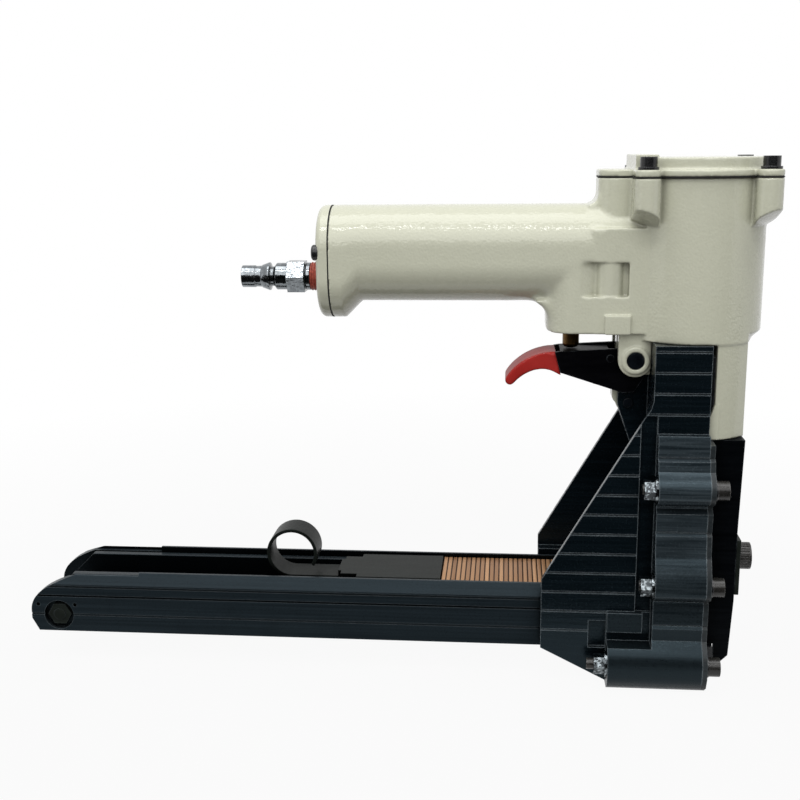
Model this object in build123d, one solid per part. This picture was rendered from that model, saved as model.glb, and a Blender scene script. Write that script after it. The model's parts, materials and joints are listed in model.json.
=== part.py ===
from build123d import *
import math
import os

# Pneumatic carton stapler, in millimetres. X runs along the magazine towards the nose, Y across, Z up.
# The origin is where the staple leaves: on the driver's axis, in the plane of the sole.

# Fits
fit = 0.02            # pieces that are pressed or screwed together
run = 0.05            # shafts that turn or slide in a bush
clear = 0.3           # pieces that pass one another
gasket_thick = 0.6

# Staple and the strip of them
crown_width = 34.8
wire_width = 2.27
wire_thick = 0.9
wire_groove = 0.2
leg_length = 18.0
staple_count = 49

# Magazine: two rails, a floor and the core that the staples straddle
rail_wall = 5.4
rail_height = 28.9
rail_bevel_y = 4.0
rail_bevel_z = 5.1
rail_rear_step = 2.5
rail_rear_step_length = 53.0
rail_rear_x = 27.0
rail_rear_z = 18.5
rail_end = ((0, 0), (0.05, 0.27), (0.18, 0.5), (0.34, 0.66), (0.5, 0.775), (0.7, 0.885), (0.88, 0.97), (1, 1))
rail_heel_x = 3.3
rail_heel_z = 6.2
rail_lip = 2.2
rail_groove = 0.8
magazine_length = 309.1
magazine_floor_thick = 3.0
floor_setback = 10.0
core_drop = 2.4
core_inner = 12.0
core_base = 2.0
core_slope = 9.0
tie_hole_r = 7.2
tie_setback = 13.6
tie_bolt_r = 2.9

# Frame of two gusset walls under the cylinder
wall_thick = 7.8
gusset_sheet = 2.4
sole_thick = 13.1
frame_height = 155.6
frame_rear = 66.5
frame_front = 4.5
frame_rear_top = 48.6
frame_rear_bottom = 15.5
neck_rear = 19.6
neck_foot_drop = 28.3
rear_plate_drop = 97.6
sole_rear = 36.0
top_web = 8.4
rib_pitch = 9.18
rib_depth = 0.6
rib_width = 0.8
pad_rear = 17.5
pad_low_rear = 37.0
pad_low_top = 34.3
pad_channel = 3.8
pad_channel_drop = 14.0
pad_step_gap = 4.8
pad_step_out = 2.5
pad_drop = 38.6
pad_depth = 6.2
bolt_out = 6.2
boss_wall = 4.0
bolt_heights = (93.7, 49.3, 11.5)

# Screws
m5_r = 2.45
m5_head_r = 4.25
m5_head = 5.0
m5_washer_r = 4.7
m5_washer = 1.1
m5_nut_flat = 8.0
m5_nut = 5.8
m4_r = 1.95
m4_head_r = 3.5
m4_head = 2.2
thread_tails = (0.6, 0.6, 3.2)

# Nose: front plate, guide of the driver, cover with the depth adjuster
plate_thick = 2.2
plate_top_drop = 5.6
cover_half = 26.0
cover_wall = 2.2
cover_rise = 1.3
cover_bottom = 9.0
cover_post_r = 4.4
cover_screw_y = 18.5
cover_screw_drop = 6.3
cover_front_top = 21.0
cover_front_bottom = 18.5
guide_thick = 2.6
guide_bottom = 3.5
adjuster_height = 50.8
adjuster_half = 25.5
adjuster_thick = 2.0
adjuster_rise = 16.2
adjuster_drop = 9.6
adjuster_travel = 3.0
adjuster_setback = 1.1
knob_r = 6.3
knob_length = 8.0
knob_washer_r = 6.9
knob_washer = 1.3
knob_shank_r = 3.95
knob_flutes = 30

# Driver, piston and clinchers
driver_thick = 2.2
driver_lift = 2.0
driver_low = 1.0
crosshead_gap = 54.0
crosshead_height = 14.0
crosshead_half = 10.0
crosshead_rear = 8.0
tongue_half = 8.0
tongue_height = 9.0
rod_r = 6.5
piston_r = 21.7
piston_height = 9.3
bumper_height = 9.0
bore_r = 22.0
liner_wall = 2.2
cylinder_floor = 7.4
piston_headroom = 1.3
claw_pivot_y = 7.13
claw_pivot_z = 24.0
claw_pin_r = 3.0
claw_thick = 4.5
claw_swing = 32.3
claw_elbow = (18.8, -1.9)
claw_tip = (8.8, -3.2)
claw_boss_r = 5.5
follower_arm = 24.0
follower_y = 4.5
follower_r = 2.4
cam_thick = 4.0
cam_rim = 2.6

# Housing: cylinder, head, handle, valve housing, ears and leg
barrel_r = 29.5
cap_bolt_x = 25.0
cap_bolt_y = 26.9
cap_boss_r = 5.4
cap_boss_length = 13.0
cap_boss_taper = 7.8
cap_plate = 2.9
cap_dome_r = 28.4
cap_block_x = (-29.5, -20.0)
cap_block_half = 20.0
cap_block = 6.1
cap_spot_r = 6.6
cap_head_r = 3.6
cap_head = 4.2
cap_washer_r = 4.4
cap_dome = 4.9
cap_rim_r = 31.0
column_rear = 44.0
column_half = 14.0
column_round = 8.0
column_cove = 4.0
junction_rear = 51.0
junction_half = 19.3
junction_rise = 11.9
junction_round = 8.0
step_out = 1.8
pocket_x = (-51.0, -30.5)
pocket_rise = (-17.9, -2.9)
pocket_deep = 4.2
pocket_slope = 6.0
post_x = 38.6
post_r = 6.2
handle_half = 19.0
handle_height = 43.2
handle_drop = 33.0
handle_rear = 162.0
handle_round = 18.0
chamber_half = 13.6
chamber_height = 32.0
chamber_round = 12.5
flange_half = 20.0
flange_height = 50.8
flange_round = 19.0
flange_thick = 5.4
flange_taper = 7.6
end_cap_thick = 5.4
end_cap_round = 3.0
end_screw_y = 16.5
end_screw_rise = 1.5
valve_lift = 3.0
valve_rear = 65.8
valve_round = 12.0
valve_x = 54.0
valve_bush_r = 7.0
valve_bush_height = 17.0
stem_r = 3.75
stem_drop = 5.8
stem_height = 12.0
trigger_x = 26.4
trigger_drop = 9.0
trigger_pin_r = 3.8
trigger_turn = 7.0
ear_inner = 12.5
ear_thick = 4.2
ear_r = 7.6
ear_ring = 1.2
lug_x = 28.2
lug_drop = 30.1
lug_r = 5.2
lug_tab_r = 3.9
lug_tab_x = 3.0
lug_tab_rise = 2.6
bracket_pin_r = 1.5
bracket_head_r = 2.2
lug_half = 4.5
leg_half = 28.0
leg_front = 21.0
barrel_lip = 4.0
leg_screw_y = 17.0
leg_screw_share = 0.3
leg_screw_reach = 11.0

# Air plug
plug_drop = 10.8
plug_thread_r = 6.55
plug_bore_r = 2.6
plug_nose_r = 5.05
plug_nose = 6.1
plug_hex = 14.0
plug_hex_length = 8.1
plug_collar = 7.6
plug_stem = 21.4
sealant = 5.0
sealant_ridges = 4

# Trigger lever and its grip
lever_half = 10.4
lever_sheet = 2.0
lever_end = 59.0
lever_rake = 2.5
rivet_x = 36.8
rivet_r = 1.7
lever_tongue = 11.0
lever_tongue_half = 7.0
lever_tongue_thick = 2.6
lever_tongue_drop = 5.0
grip_half = 9.6

# Pusher
pusher_half = 15.3
pusher_length = 40.0
pusher_sheet = 1.6
pusher_shoulder_half = 11.5
pusher_shoulder = 8.0
pusher_joggle = 2.85
pusher_tail_half = 7.6
ring_r = 12.25
ring_back = 71.8
ring_sweep = 300.0
slider_height = 19.0
spring_roll_r = 6.5
spring_axle_r = 2.5
spring_width = 10.0
spring_thick = 0.4
pusher_travel = 110.0

# Places that follow from the sizes above
channel_half = crown_width / 2 + clear
rail_outer = channel_half + rail_wall
rail_bottom = sole_thick
rail_top = rail_bottom + rail_height
magazine_front = -driver_thick / 2 - clear
magazine_rear = magazine_front - magazine_length
floor_top = rail_bottom + magazine_floor_thick
core_half = crown_width / 2 - wire_thick - 2 * clear
core_top = rail_top - core_drop
strip_rear = magazine_front - clear - staple_count * wire_width
wall_inner = rail_outer + clear
wall_outer = wall_inner + wall_thick
pad_top = frame_height - pad_drop
bolt_y = wall_outer + bolt_out
plate_front = frame_front + plate_thick
plate_top = frame_height - plate_top_drop
blade_half = crown_width / 2 - clear
blade_tip = rail_top + driver_lift
stroke = blade_tip - driver_low
crosshead_bottom = blade_tip + crosshead_gap
crosshead_top = crosshead_bottom + crosshead_height
cover_top = crosshead_top + cover_rise
leg_bottom = cover_top + clear
claw_x = (plate_front + clear, plate_front + clear + claw_thick)
cam_x = (claw_x[1] + clear, claw_x[1] + clear + cam_thick)
cover_inner_x = cam_x[1] + 2 * clear
cover_flat_x = cover_front_top - adjuster_setback
adjuster_x = (cover_flat_x + run, cover_flat_x + run + adjuster_thick)
knob_seat = adjuster_x[1] + run
knob_x = (knob_seat + knob_washer, knob_seat + knob_washer + knob_length)
cover_screw_seat = cover_front_top - m4_head - clear
housing_bottom = frame_height
bore_floor = housing_bottom + cylinder_floor
bumper_top = bore_floor + bumper_height
piston_bottom = bumper_top + clear + stroke
piston_top = piston_bottom + piston_height
housing_top = piston_top + piston_headroom
cap_bottom = housing_top + gasket_thick
cap_seat = cap_bottom + cap_plate
handle_z = housing_top - handle_drop
handle_bottom = handle_z - handle_height / 2
flange_top = handle_z + handle_height / 2
flange_z = flange_top - flange_height / 2
plug_z = handle_z - plug_drop
end_cap_front = -handle_rear - gasket_thick
end_cap_rear = end_cap_front - end_cap_thick
end_screw_z = handle_z + end_screw_rise
valve_bottom = housing_bottom + valve_lift
trigger_z = housing_bottom - trigger_drop
lug_z = housing_bottom - lug_drop
stem_bottom = housing_bottom - stem_drop
lever_top = stem_bottom - clear - 0.1
lever_tongue_z = (lever_top - lever_tongue_drop - lever_tongue_thick, lever_top - lever_tongue_drop)
pusher_front = strip_rear - clear
pusher_z = (core_top + clear, core_top + clear + pusher_sheet)
roll_x = pusher_front - pusher_length / 2
roll_z = pusher_z[0] - slider_height / 2
band_z = roll_z - spring_roll_r - clear
tie_x = magazine_rear + tie_setback
tie_z = rail_bottom + tie_hole_r + 1.0
cap_bolts = [(x, y) for x in (-cap_bolt_x, cap_bolt_x) for y in (-cap_bolt_y, cap_bolt_y)]
frame_bolts = [(y, z) for y in (-bolt_y, bolt_y) for z in bolt_heights]


def block(x, y, z):
    """A box between three pairs of limits."""
    middle = Pos((x[0] + x[1]) / 2, (y[0] + y[1]) / 2, (z[0] + z[1]) / 2)
    return middle * Box(x[1] - x[0], y[1] - y[0], z[1] - z[0])


def across(half, x, z):
    """A box that is symmetric about the middle plane."""
    return block(x, (-half, half), z)


def rod_x(radius, x, y, z):
    return Pos((x[0] + x[1]) / 2, y, z) * Rot(0, 90, 0) * Cylinder(radius, x[1] - x[0])


def rod_y(radius, y, x, z):
    return Pos(x, (y[0] + y[1]) / 2, z) * Rot(90, 0, 0) * Cylinder(radius, y[1] - y[0])


def rod_z(radius, z, x=0.0, y=0.0):
    return Pos(x, y, (z[0] + z[1]) / 2) * Cylinder(radius, z[1] - z[0])


def tube_z(outer, inner, z, x=0.0, y=0.0):
    return rod_z(outer, z, x, y) - rod_z(inner, z, x, y)


def hexagon_x(flat, x, y, z):
    """A hexagonal bar along X, by its width across flats."""
    outline = Plane.YZ.offset(x[0]) * (Pos(y, z) * RegularPolygon(flat / 2, 6, major_radius=False))
    return extrude(outline, amount=x[1] - x[0], dir=(1, 0, 0))


def side(points, y):
    """A plate parallel to the middle plane, from an outline of X and Z."""
    outline = make_face(Polyline(*[(px, y[0], pz) for px, pz in points], close=True))
    return extrude(outline, amount=y[1] - y[0], dir=(0, 1, 0))


def front(points, x):
    """A plate square to the magazine, from an outline of Y and Z."""
    outline = make_face(Polyline(*[(x[0], py, pz) for py, pz in points], close=True))
    return extrude(outline, amount=x[1] - x[0], dir=(1, 0, 0))


def oblong(width, height, corner, z, x):
    """A rounded bar along X."""
    outline = Plane.YZ.offset(x[0]) * (Pos(0, z) * RectangleRounded(width, height, corner))
    return extrude(outline, amount=x[1] - x[0], dir=(1, 0, 0))


def both(piece):
    """The piece and its mirror image on the other side of the middle plane."""
    return piece + mirror(piece, about=Plane.XZ)


def group(pieces):
    return Compound(children=[solid for piece in pieces for solid in piece.solids()])


def socket_screw_x(x_seat, y, z, shank, way):
    """A socket head screw along X: its head stands on x_seat on the side that way points to."""
    head = sorted((x_seat, x_seat + way * m5_head))
    stem = sorted((x_seat, x_seat - way * shank))
    socket = sorted((x_seat + way * m5_head * 0.45, x_seat + way * m5_head))
    body = rod_x(m5_head_r, head, y, z) + rod_x(m5_r, stem, y, z)
    return body - hexagon_x(m5_r * 1.63, socket, y, z)


def pad_outline(sign):
    """The scalloped outline of the raised pad on one wall, in Y and Z, from its top ledge to the sole."""
    high, middle, low = bolt_heights
    ledge = wall_outer + pad_depth
    crest = bolt_y + m5_r + boss_wall
    points = [
        (wall_inner, pad_top), (ledge - 2.2, pad_top), (ledge - 1.4, pad_top - 2.6),
        (ledge - 1.4, pad_top - 9.0), (ledge - 2.0, pad_top - 9.4), (ledge + 0.6, pad_top - 10.6),
        (ledge + 1.4, pad_top - 15), (crest - 1.6, high + 5), (crest, high + 1.8), (crest, high - 1.8),
        (crest - 2.2, high - 5), (ledge - 1.6, high - 8), (ledge - 1.6, high - 8.8),
        (ledge + 1.0, high - 10.8), (ledge + 0.2, high - 19), (ledge - 0.6, high - 19.6),
        (ledge + 0.8, high - 21), (ledge + 1.6, middle + 14.6), (ledge + 2.6, middle + 13.4),
        (crest - 0.6, middle + 6), (crest, middle + 2), (crest, middle - 2), (crest - 1.4, middle - 4.5),
        (ledge - 0.2, middle - 7.2), (ledge + 0.9, middle - 9), (ledge + 0.8, middle - 18),
        (ledge + 0.1, middle - 18.6), (ledge + 0.9, middle - 20), (ledge + 0.2, low + 12),
        (crest - 2, low + 7), (crest, low + 3), (crest, low - 3.5), (crest - 2.2, low - 8.5), (bolt_y, 0),
        (wall_inner, 0),
    ]
    return [(sign * y, z) for y, z in points]


# Magazine

def rail():
    """The rail on the left-hand side: bevelled lip, groove along the outside, rounded rear end."""
    section = [
        (channel_half, rail_bottom), (rail_outer, rail_bottom), (rail_outer, rail_top - rail_bevel_z),
        (rail_outer - rail_bevel_y, rail_top), (channel_half, rail_top),
    ]
    bar = front(section, (magazine_rear, magazine_front))
    brow = rail_height - rail_bevel_z - 2 * rail_groove
    grooves = ((rail_height * 0.605, 1.0), (rail_height * 0.28, 0.4), (brow, 0.5))
    for height, deep in grooves:
        z = rail_bottom + height
        bar -= block((magazine_rear, magazine_front), (rail_outer - deep, rail_outer), (z, z + rail_groove))
    step = (magazine_rear, magazine_rear + rail_rear_step_length)
    bar -= block(step, (0, channel_half + rail_lip), (rail_top - rail_rear_step, rail_top + 1))
    wide = (0, rail_outer + 1)
    top_z = rail_top - rail_rear_z
    top_x = magazine_rear + rail_rear_x
    brink = [(magazine_rear + x * rail_rear_x, 0, top_z + z * rail_rear_z) for x, z in rail_end]
    above = (magazine_rear - 1, 0, rail_top + 1)
    beyond = Polyline(brink[-1], (top_x, 0, above[2]), above, (above[0], 0, top_z), brink[0])
    edge = [Spline(*brink), beyond]
    bar -= extrude(make_face(edge), amount=wide[1], dir=(0, 1, 0))
    heel = [
        (magazine_rear, rail_bottom), (magazine_rear + rail_heel_x, rail_bottom),
        (magazine_rear, rail_bottom + rail_heel_z),
    ]
    bar -= side(heel, wide)
    bar -= rod_y(tie_hole_r, (rail_outer - rail_wall * 0.6, rail_outer + 1), tie_x, tie_z)
    bar -= rod_y(tie_bolt_r + fit, (0, rail_outer + 1), tie_x, tie_z)
    for offset in (-10.0, 8.2):
        bar -= rod_y(0.9, (rail_outer - 2, rail_outer + 1), tie_x + offset, tie_z + 5.2)
    return bar


def magazine_floor():
    ends = (magazine_rear + floor_setback, magazine_front)
    return across(channel_half - fit, ends, (rail_bottom, floor_top))


def staple_core():
    """An open channel on the floor, whose two walls the staples straddle."""
    ends = (magazine_rear + floor_setback, magazine_front)
    bar = across(core_half, ends, (floor_top, core_top))
    bar -= across(core_inner, ends, (floor_top + core_base, core_top + 1))
    slope = [(ends[0], core_top), (ends[0] + core_slope, core_top), (ends[0], core_top - core_slope)]
    bar -= side(slope, (-core_half, core_half))
    return bar - rod_y(tie_bolt_r + fit, (-rail_outer, rail_outer), tie_x, tie_z)


def magazine_tie():
    """The cross bolt at the rear of the magazine, with a nut sunk in each rail."""
    seat = rail_outer - rail_wall * 0.6
    bolt = rod_y(tie_bolt_r, (-rail_outer + 0.6, rail_outer - 0.6), tie_x, tie_z)
    pieces = [bolt]
    for sign in (-1, 1):
        y = sorted((sign * seat, sign * (rail_outer - 1.0)))
        flats = RegularPolygon(tie_bolt_r * 1.72, 6, major_radius=False)
        hexagon = Plane.XZ.offset(-y[0]) * (Pos(tie_x, tie_z) * flats)
        nut = extrude(hexagon, amount=y[1] - y[0], dir=(0, 1, 0))
        pieces.append(nut - rod_y(tie_bolt_r + fit, (-rail_outer, rail_outer), tie_x, tie_z))
    return group(pieces)


def staple_hoop(x, inset):
    """The section of the strip between two limits of X, drawn in by inset on its outside."""
    half = crown_width / 2 - inset
    top = core_top + fit + wire_thick
    hoop = across(half, x, (top - leg_length, top - inset))
    return hoop - across(crown_width / 2 - wire_thick, x, (top - leg_length - 1, top - wire_thick))


def staple_strip():
    """Staples glued side by side: one length of hoop, with a groove between every two wires."""
    strip = staple_hoop((strip_rear, strip_rear + staple_count * wire_width), 0)
    half_groove = wire_groove / 2
    grooves = []
    for i in range(1, staple_count):
        x = strip_rear + i * wire_width
        wide = (x - half_groove, x + half_groove)
        grooves.append(staple_hoop(wide, 0) - staple_hoop(wide, wire_groove))
    return strip - grooves


# Pusher

def pusher_plate():
    """Flat plate behind the strip, stepped down to a tail that curls into a finger ring."""
    rear = pusher_front - pusher_length
    neck = rear - pusher_shoulder
    low = pusher_z[0] - pusher_joggle
    plate = across(pusher_half, (rear, pusher_front), pusher_z)
    plate += across(pusher_shoulder_half, (neck, rear), pusher_z)
    plate += across(pusher_tail_half, (neck - pusher_sheet, neck), (low, pusher_z[1]))
    tail_x = pusher_front - ring_back
    plate += across(pusher_tail_half, (tail_x, neck), (low, low + pusher_sheet))
    tail_y = (-pusher_tail_half, pusher_tail_half)
    middle = (tail_x, low + ring_r)
    ring = rod_y(ring_r, tail_y, *middle) - rod_y(ring_r - pusher_sheet, tail_y, *middle)
    end = math.radians(270.0 - ring_sweep)
    far = 2 * ring_r
    gap = [
        middle, (middle[0], middle[1] - far), (middle[0] + far, middle[1] - far),
        (middle[0] + far * math.cos(end), middle[1] + far * math.sin(end)),
    ]
    return plate + (ring - side(gap, tail_y))


def pusher_slider():
    """The runner inside the core, under the plate, with a pocket for the spring roll and its axle."""
    x = (pusher_front - pusher_length + 2.0, pusher_front - 2.0)
    bottom = pusher_z[0] - slider_height
    half = core_inner - 1.5 * clear
    body = across(half, x, (bottom, pusher_z[0]))
    room = spring_roll_r + 2 * clear
    body -= across(spring_width / 2 + 2 * clear, (roll_x - room, x[1] + 1), (bottom - 1, roll_z + room))
    return body + rod_y(spring_axle_r, (-half, half), roll_x, roll_z)


def spring_roll():
    width = (-spring_width / 2, spring_width / 2)
    return rod_y(spring_roll_r, width, roll_x, roll_z) - rod_y(spring_axle_r + run, width, roll_x, roll_z)


def spring_band():
    """The free stretch of the flat spring, from under the roll to its anchor at the front of the core."""
    return across(spring_width / 2, (roll_x, magazine_front - 2.0), (band_z - spring_thick, band_z))


def spring_anchor():
    x = (magazine_front - 10.0, magazine_front - 2.0)
    return across(spring_width / 2 + 1.0, x, (floor_top + core_base, band_z - spring_thick))


# Frame

def side_frame():
    """Two gusset walls with scalloped bolt pads, joined by a web on top and the sole below."""
    outline = [
        (-neck_rear, frame_height), (frame_front, frame_height), (frame_front, 0), (-sole_rear, 0),
        (-frame_rear, frame_rear_bottom), (-frame_rear, frame_rear_top),
        (-neck_rear - 1.2, frame_height - neck_foot_drop), (-neck_rear, frame_height - neck_foot_drop + 4),
    ]
    wall = side(outline, (wall_inner, wall_outer))
    ribs = int((frame_height - frame_rear_bottom) / rib_pitch)
    long = (-frame_rear - 1, frame_front + 1)
    for i in range(ribs):
        z = frame_height - 3.0 - i * rib_pitch
        wall -= block(long, (wall_outer - rib_depth, wall_outer + 1), (z, z + rib_width))
    milled = (wall_outer - 2 * rib_depth, wall_outer + 1)
    wall -= block((-pad_rear - 7, -pad_rear), milled, (pad_low_top, pad_top + 8))
    sunk = (wall_outer - 2.0, wall_outer + 1)
    wall -= block((-pad_low_rear - 8, -pad_low_rear), sunk, (pad_low_top - 17.8, pad_low_top - 4.8))
    pad = front(pad_outline(1), (-pad_low_rear, frame_front))
    pad -= block((-pad_low_rear - 1, -pad_rear), (0, 2 * bolt_y), (pad_low_top, pad_top + 1))
    channel_z = (pad_low_top - pad_channel_drop, pad_low_top + 1)
    pad -= block((-pad_rear - pad_channel, -pad_rear), (wall_outer, 2 * bolt_y), channel_z)
    pad -= block((-pad_low_rear - 1, -pad_rear), (wall_outer + pad_step_out, 2 * bolt_y), channel_z)
    gap_z = (channel_z[0], channel_z[0] + pad_step_gap)
    pad -= block((-pad_low_rear - 1, -pad_rear), (wall_outer, 2 * bolt_y), gap_z)
    wall += pad & block((-frame_rear, frame_front), (wall_outer - 1, 2 * bolt_y), (0, pad_top))
    thinned = (0, wall_outer - gusset_sheet)
    wall -= block((-frame_rear - 1, -neck_rear - 2), thinned, (rail_top + 1.5, frame_height + 1))
    walls = both(wall)
    whole = side(outline, (-wall_inner, wall_inner))
    walls += whole & across(wall_inner, (-neck_rear, frame_front), (frame_height - top_web, frame_height))
    walls += whole & across(wall_inner, (-frame_rear, -driver_thick / 2 - 1.8), (0, sole_thick))
    mouth = claw_pivot_y + abs(complex(*claw_tip) - complex(claw_pivot_y, claw_pivot_z)) - 0.8
    walls -= across(mouth, (-driver_thick / 2 - 1.8, frame_front + 1), (-1, sole_thick))
    walls -= rod_z(rod_r + 1.5, (0, frame_height + 1))
    for x, y in housing_screw_places():
        walls -= rod_z(m5_r + fit, (frame_height - top_web - 1, frame_height + 1), x, y)
    for y, z in frame_bolts:
        walls -= rod_x(m5_r + 2 * run, (-pad_low_rear - 1, frame_front + 1), y, z)
    return walls


def housing_screw_places():
    return [(x, y) for x, y in ((-12.5, 14.0), (-12.5, -14.0), (0.0, 17.0), (0.0, -17.0))]


def housing_screws():
    """Four screws up through the frame's web into the floor of the cylinder."""
    seat = frame_height - top_web
    pieces = []
    for x, y in housing_screw_places():
        screw = rod_z(m5_r, (seat, frame_height + cylinder_floor - 1.0), x, y)
        screw += rod_z(m5_head_r, (seat - m5_head, seat), x, y)
        pieces.append(screw - rod_z(2.3, (seat - m5_head, seat - m5_head / 2), x, y))
    return group(pieces)


def front_plate():
    """Steel plate on the front of the frame: same scalloped outline, slot for the crosshead, claw mouths."""
    outline = pad_outline(1)[1:-1]
    outline += reversed(pad_outline(-1)[1:-1])
    plate = front(outline, (frame_front, plate_front))
    plate -= across(2 * bolt_y, (frame_front - 1, plate_front + 1), (cover_top, frame_height))
    plate += across(cover_half - clear, (frame_front, plate_front), (cover_top - 5, plate_top))
    mouth = claw_pivot_y + abs(complex(*claw_tip) - complex(claw_pivot_y, claw_pivot_z)) - 0.8
    x = (frame_front - 1, plate_front + 1)
    plate -= across(mouth, x, (-1, sole_thick))
    plate += across(blade_half + 1.3, (frame_front, plate_front), (guide_bottom, sole_thick + 1))
    slot_bottom = crosshead_bottom - stroke - 1.5
    plate -= across(crosshead_half + 2 * clear, x, (slot_bottom, plate_top + 1))
    for y, z in frame_bolts:
        plate -= rod_x(m5_r + 2 * run, x, y, z)
    for y, z in leg_screw_places():
        plate -= rod_x(m5_r + fit, x, y, z)
    for y, z in cover_screw_places():
        plate -= rod_x(m4_r + fit, x, y, z)
    for sign in (-1, 1):
        plate -= rod_x(claw_pin_r + fit, x, sign * claw_pivot_y, claw_pivot_z)
    return plate


def front_guide():
    """Block in front of the driver that closes its channel."""
    x = (driver_thick / 2 + clear, frame_front)
    top = crosshead_bottom - stroke - 2.0
    guide = across(blade_half + 1.3, x, (guide_bottom, top))
    for sign in (-1, 1):
        guide -= rod_x(claw_pin_r + fit, (x[0] - 1, x[1] + 1), sign * claw_pivot_y, claw_pivot_z)
    return guide


def rear_guide():
    """Plate behind the driver, above the mouth of the magazine."""
    x = (-driver_thick / 2 - clear - guide_thick, -driver_thick / 2 - clear)
    return across(wall_inner - fit, x, (rail_top + 1.2, crosshead_bottom - stroke - 1.0))


def rear_plate():
    """Plate that closes the neck of the frame behind the crosshead."""
    height = (frame_height - rear_plate_drop, frame_height - top_web)
    return across(wall_inner - fit, (-neck_rear + 0.2, -neck_rear + 2.2), height)


def rear_bracket():
    """Two tapered arms on a spine, pinned to the lug of the housing."""
    low = lug_z - 27.0
    arm = [
        (-lug_x - 4.6, lug_z + 4), (-lug_x - 1, lug_z + 15), (-neck_rear + 0.2, lug_z + 15),
        (-neck_rear + 0.2, low), (-neck_rear - 4, low), (-lug_x - 4.6, lug_z - 1),
    ]
    inner = lug_half + clear
    bracket = both(side(arm, (inner, inner + 2.5)))
    bracket += across(inner + 2.5, (-neck_rear - 2.0, -neck_rear + 0.2), (low, lug_z - lug_r - 1.0))
    return bracket - rod_y(bracket_pin_r + fit, (-20, 20), -lug_x, lug_z)


def bracket_pin():
    reach = lug_half + clear + 2.5
    pin = rod_y(bracket_pin_r, (-reach - 1.2, reach + 1.2), -lug_x, lug_z)
    return pin + both(rod_y(bracket_head_r, (reach, reach + 1.2), -lug_x, lug_z))


def frame_bolt_rear(z):
    return -pad_low_rear if z == bolt_heights[2] else -pad_rear


def frame_bolt_set():
    """Socket head bolts along X, lock washers under their heads and flanged nuts behind."""
    seat = plate_front + m5_washer
    bolts = []
    washers = []
    nuts = []
    for y, z in frame_bolts:
        rear = frame_bolt_rear(z)
        tail = thread_tails[bolt_heights.index(z)]
        bolts.append(socket_screw_x(seat, y, z, seat - rear + m5_nut + tail, 1))
        ring = rod_x(m5_washer_r, (plate_front, seat), y, z) - rod_x(m5_r + fit, (plate_front, seat), y, z)
        split = block((plate_front, seat), (y - 0.4, y + 0.4), (z, z + 2 * m5_washer_r))
        washers.append(ring - split)
        nut = hexagon_x(m5_nut_flat, (rear - m5_nut, rear), y, z)
        nut += rod_x(m5_nut_flat * 0.72, (rear - 1.2, rear), y, z)
        nuts.append(nut - rod_x(m5_r + fit, (rear - m5_nut, rear), y, z))
    return group(bolts), group(washers), group(nuts)


# Nose

def leg_screw_places():
    z = leg_bottom + leg_screw_share * (housing_bottom - leg_bottom)
    return [(leg_screw_y, z), (-leg_screw_y, z)]


def leg_screws():
    return group([socket_screw_x(frame_front, y, z, leg_screw_reach, -1) for y, z in leg_screw_places()])


def cover_screw_places():
    return [(y, cover_top - cover_screw_drop) for y in (-cover_screw_y, cover_screw_y)]


def front_cover():
    """Black cover of the clincher gear, with a flat for the depth plate and two posts for its screws."""
    flat_top = adjuster_height + adjuster_rise + adjuster_travel + clear
    flat_bottom = adjuster_height - adjuster_drop - adjuster_travel
    outline = [
        (plate_front, cover_top), (cover_front_top, cover_top), (cover_flat_x, flat_top),
        (cover_flat_x, flat_bottom), (cover_front_bottom, cover_bottom + 3),
        (cover_front_bottom - 3, cover_bottom), (claw_x[1] + clear, cover_bottom),
        (claw_x[1] + clear, claw_pivot_z - 6.5), (plate_front, claw_pivot_z - 6.5),
    ]
    cover = side(outline, (-cover_half, cover_half))
    low = cover_bottom - 1
    cover -= across(cover_half - cover_wall, (plate_front - 1, cover_inner_x), (low, cover_top + 1))
    for y, z in cover_screw_places():
        cover += rod_x(cover_post_r, (plate_front, cover_inner_x + 1), y, z)
        cover -= rod_x(m4_r + fit, (plate_front - 1, cover_front_top + 1), y, z)
        cover -= rod_x(m4_head_r + clear, (cover_screw_seat, cover_front_top + 1), y, z)
    return cover - rod_x(knob_shank_r + run, (0, cover_front_top + 1), 0, adjuster_height)


def cover_screws():
    pieces = []
    seat = cover_screw_seat
    for y, z in cover_screw_places():
        screw = rod_x(m4_r, (frame_front, seat), y, z) + rod_x(m4_head_r, (seat, seat + m4_head), y, z)
        pieces.append(screw - hexagon_x(2.5, (seat + 0.9, seat + m4_head), y, z))
    return group(pieces)


def adjuster_plate():
    """Wide plate with an upright slot, which slides up and down under the head of the clamping screw."""
    height = (adjuster_height - adjuster_drop, adjuster_height + adjuster_rise)
    plate = across(adjuster_half, adjuster_x, height)
    throat = knob_shank_r + clear
    reach = adjuster_travel + clear
    ends = (adjuster_height - reach, adjuster_height + reach)
    plate -= across(throat, adjuster_x, ends)
    for z in ends:
        plate -= rod_x(throat, adjuster_x, 0, z)
    return plate


def adjuster_knob():
    """Knurled clamping screw of the depth adjuster."""
    head = rod_x(knob_r, knob_x, 0, adjuster_height)
    for i in range(knob_flutes):
        angle = 2 * math.pi * i / knob_flutes
        y = knob_r * math.cos(angle)
        z = adjuster_height + knob_r * math.sin(angle)
        head -= rod_x(0.35, (knob_x[0] + 0.8, knob_x[1] - 0.8), y, z)
    head += rod_x(knob_washer_r, (knob_seat, knob_x[0]), 0, adjuster_height)
    head += rod_x(knob_shank_r, (cover_inner_x + clear, knob_x[0]), 0, adjuster_height)
    return head - hexagon_x(6.0, (knob_x[1] - 3.6, knob_x[1]), 0, adjuster_height)


# Clinchers

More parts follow.
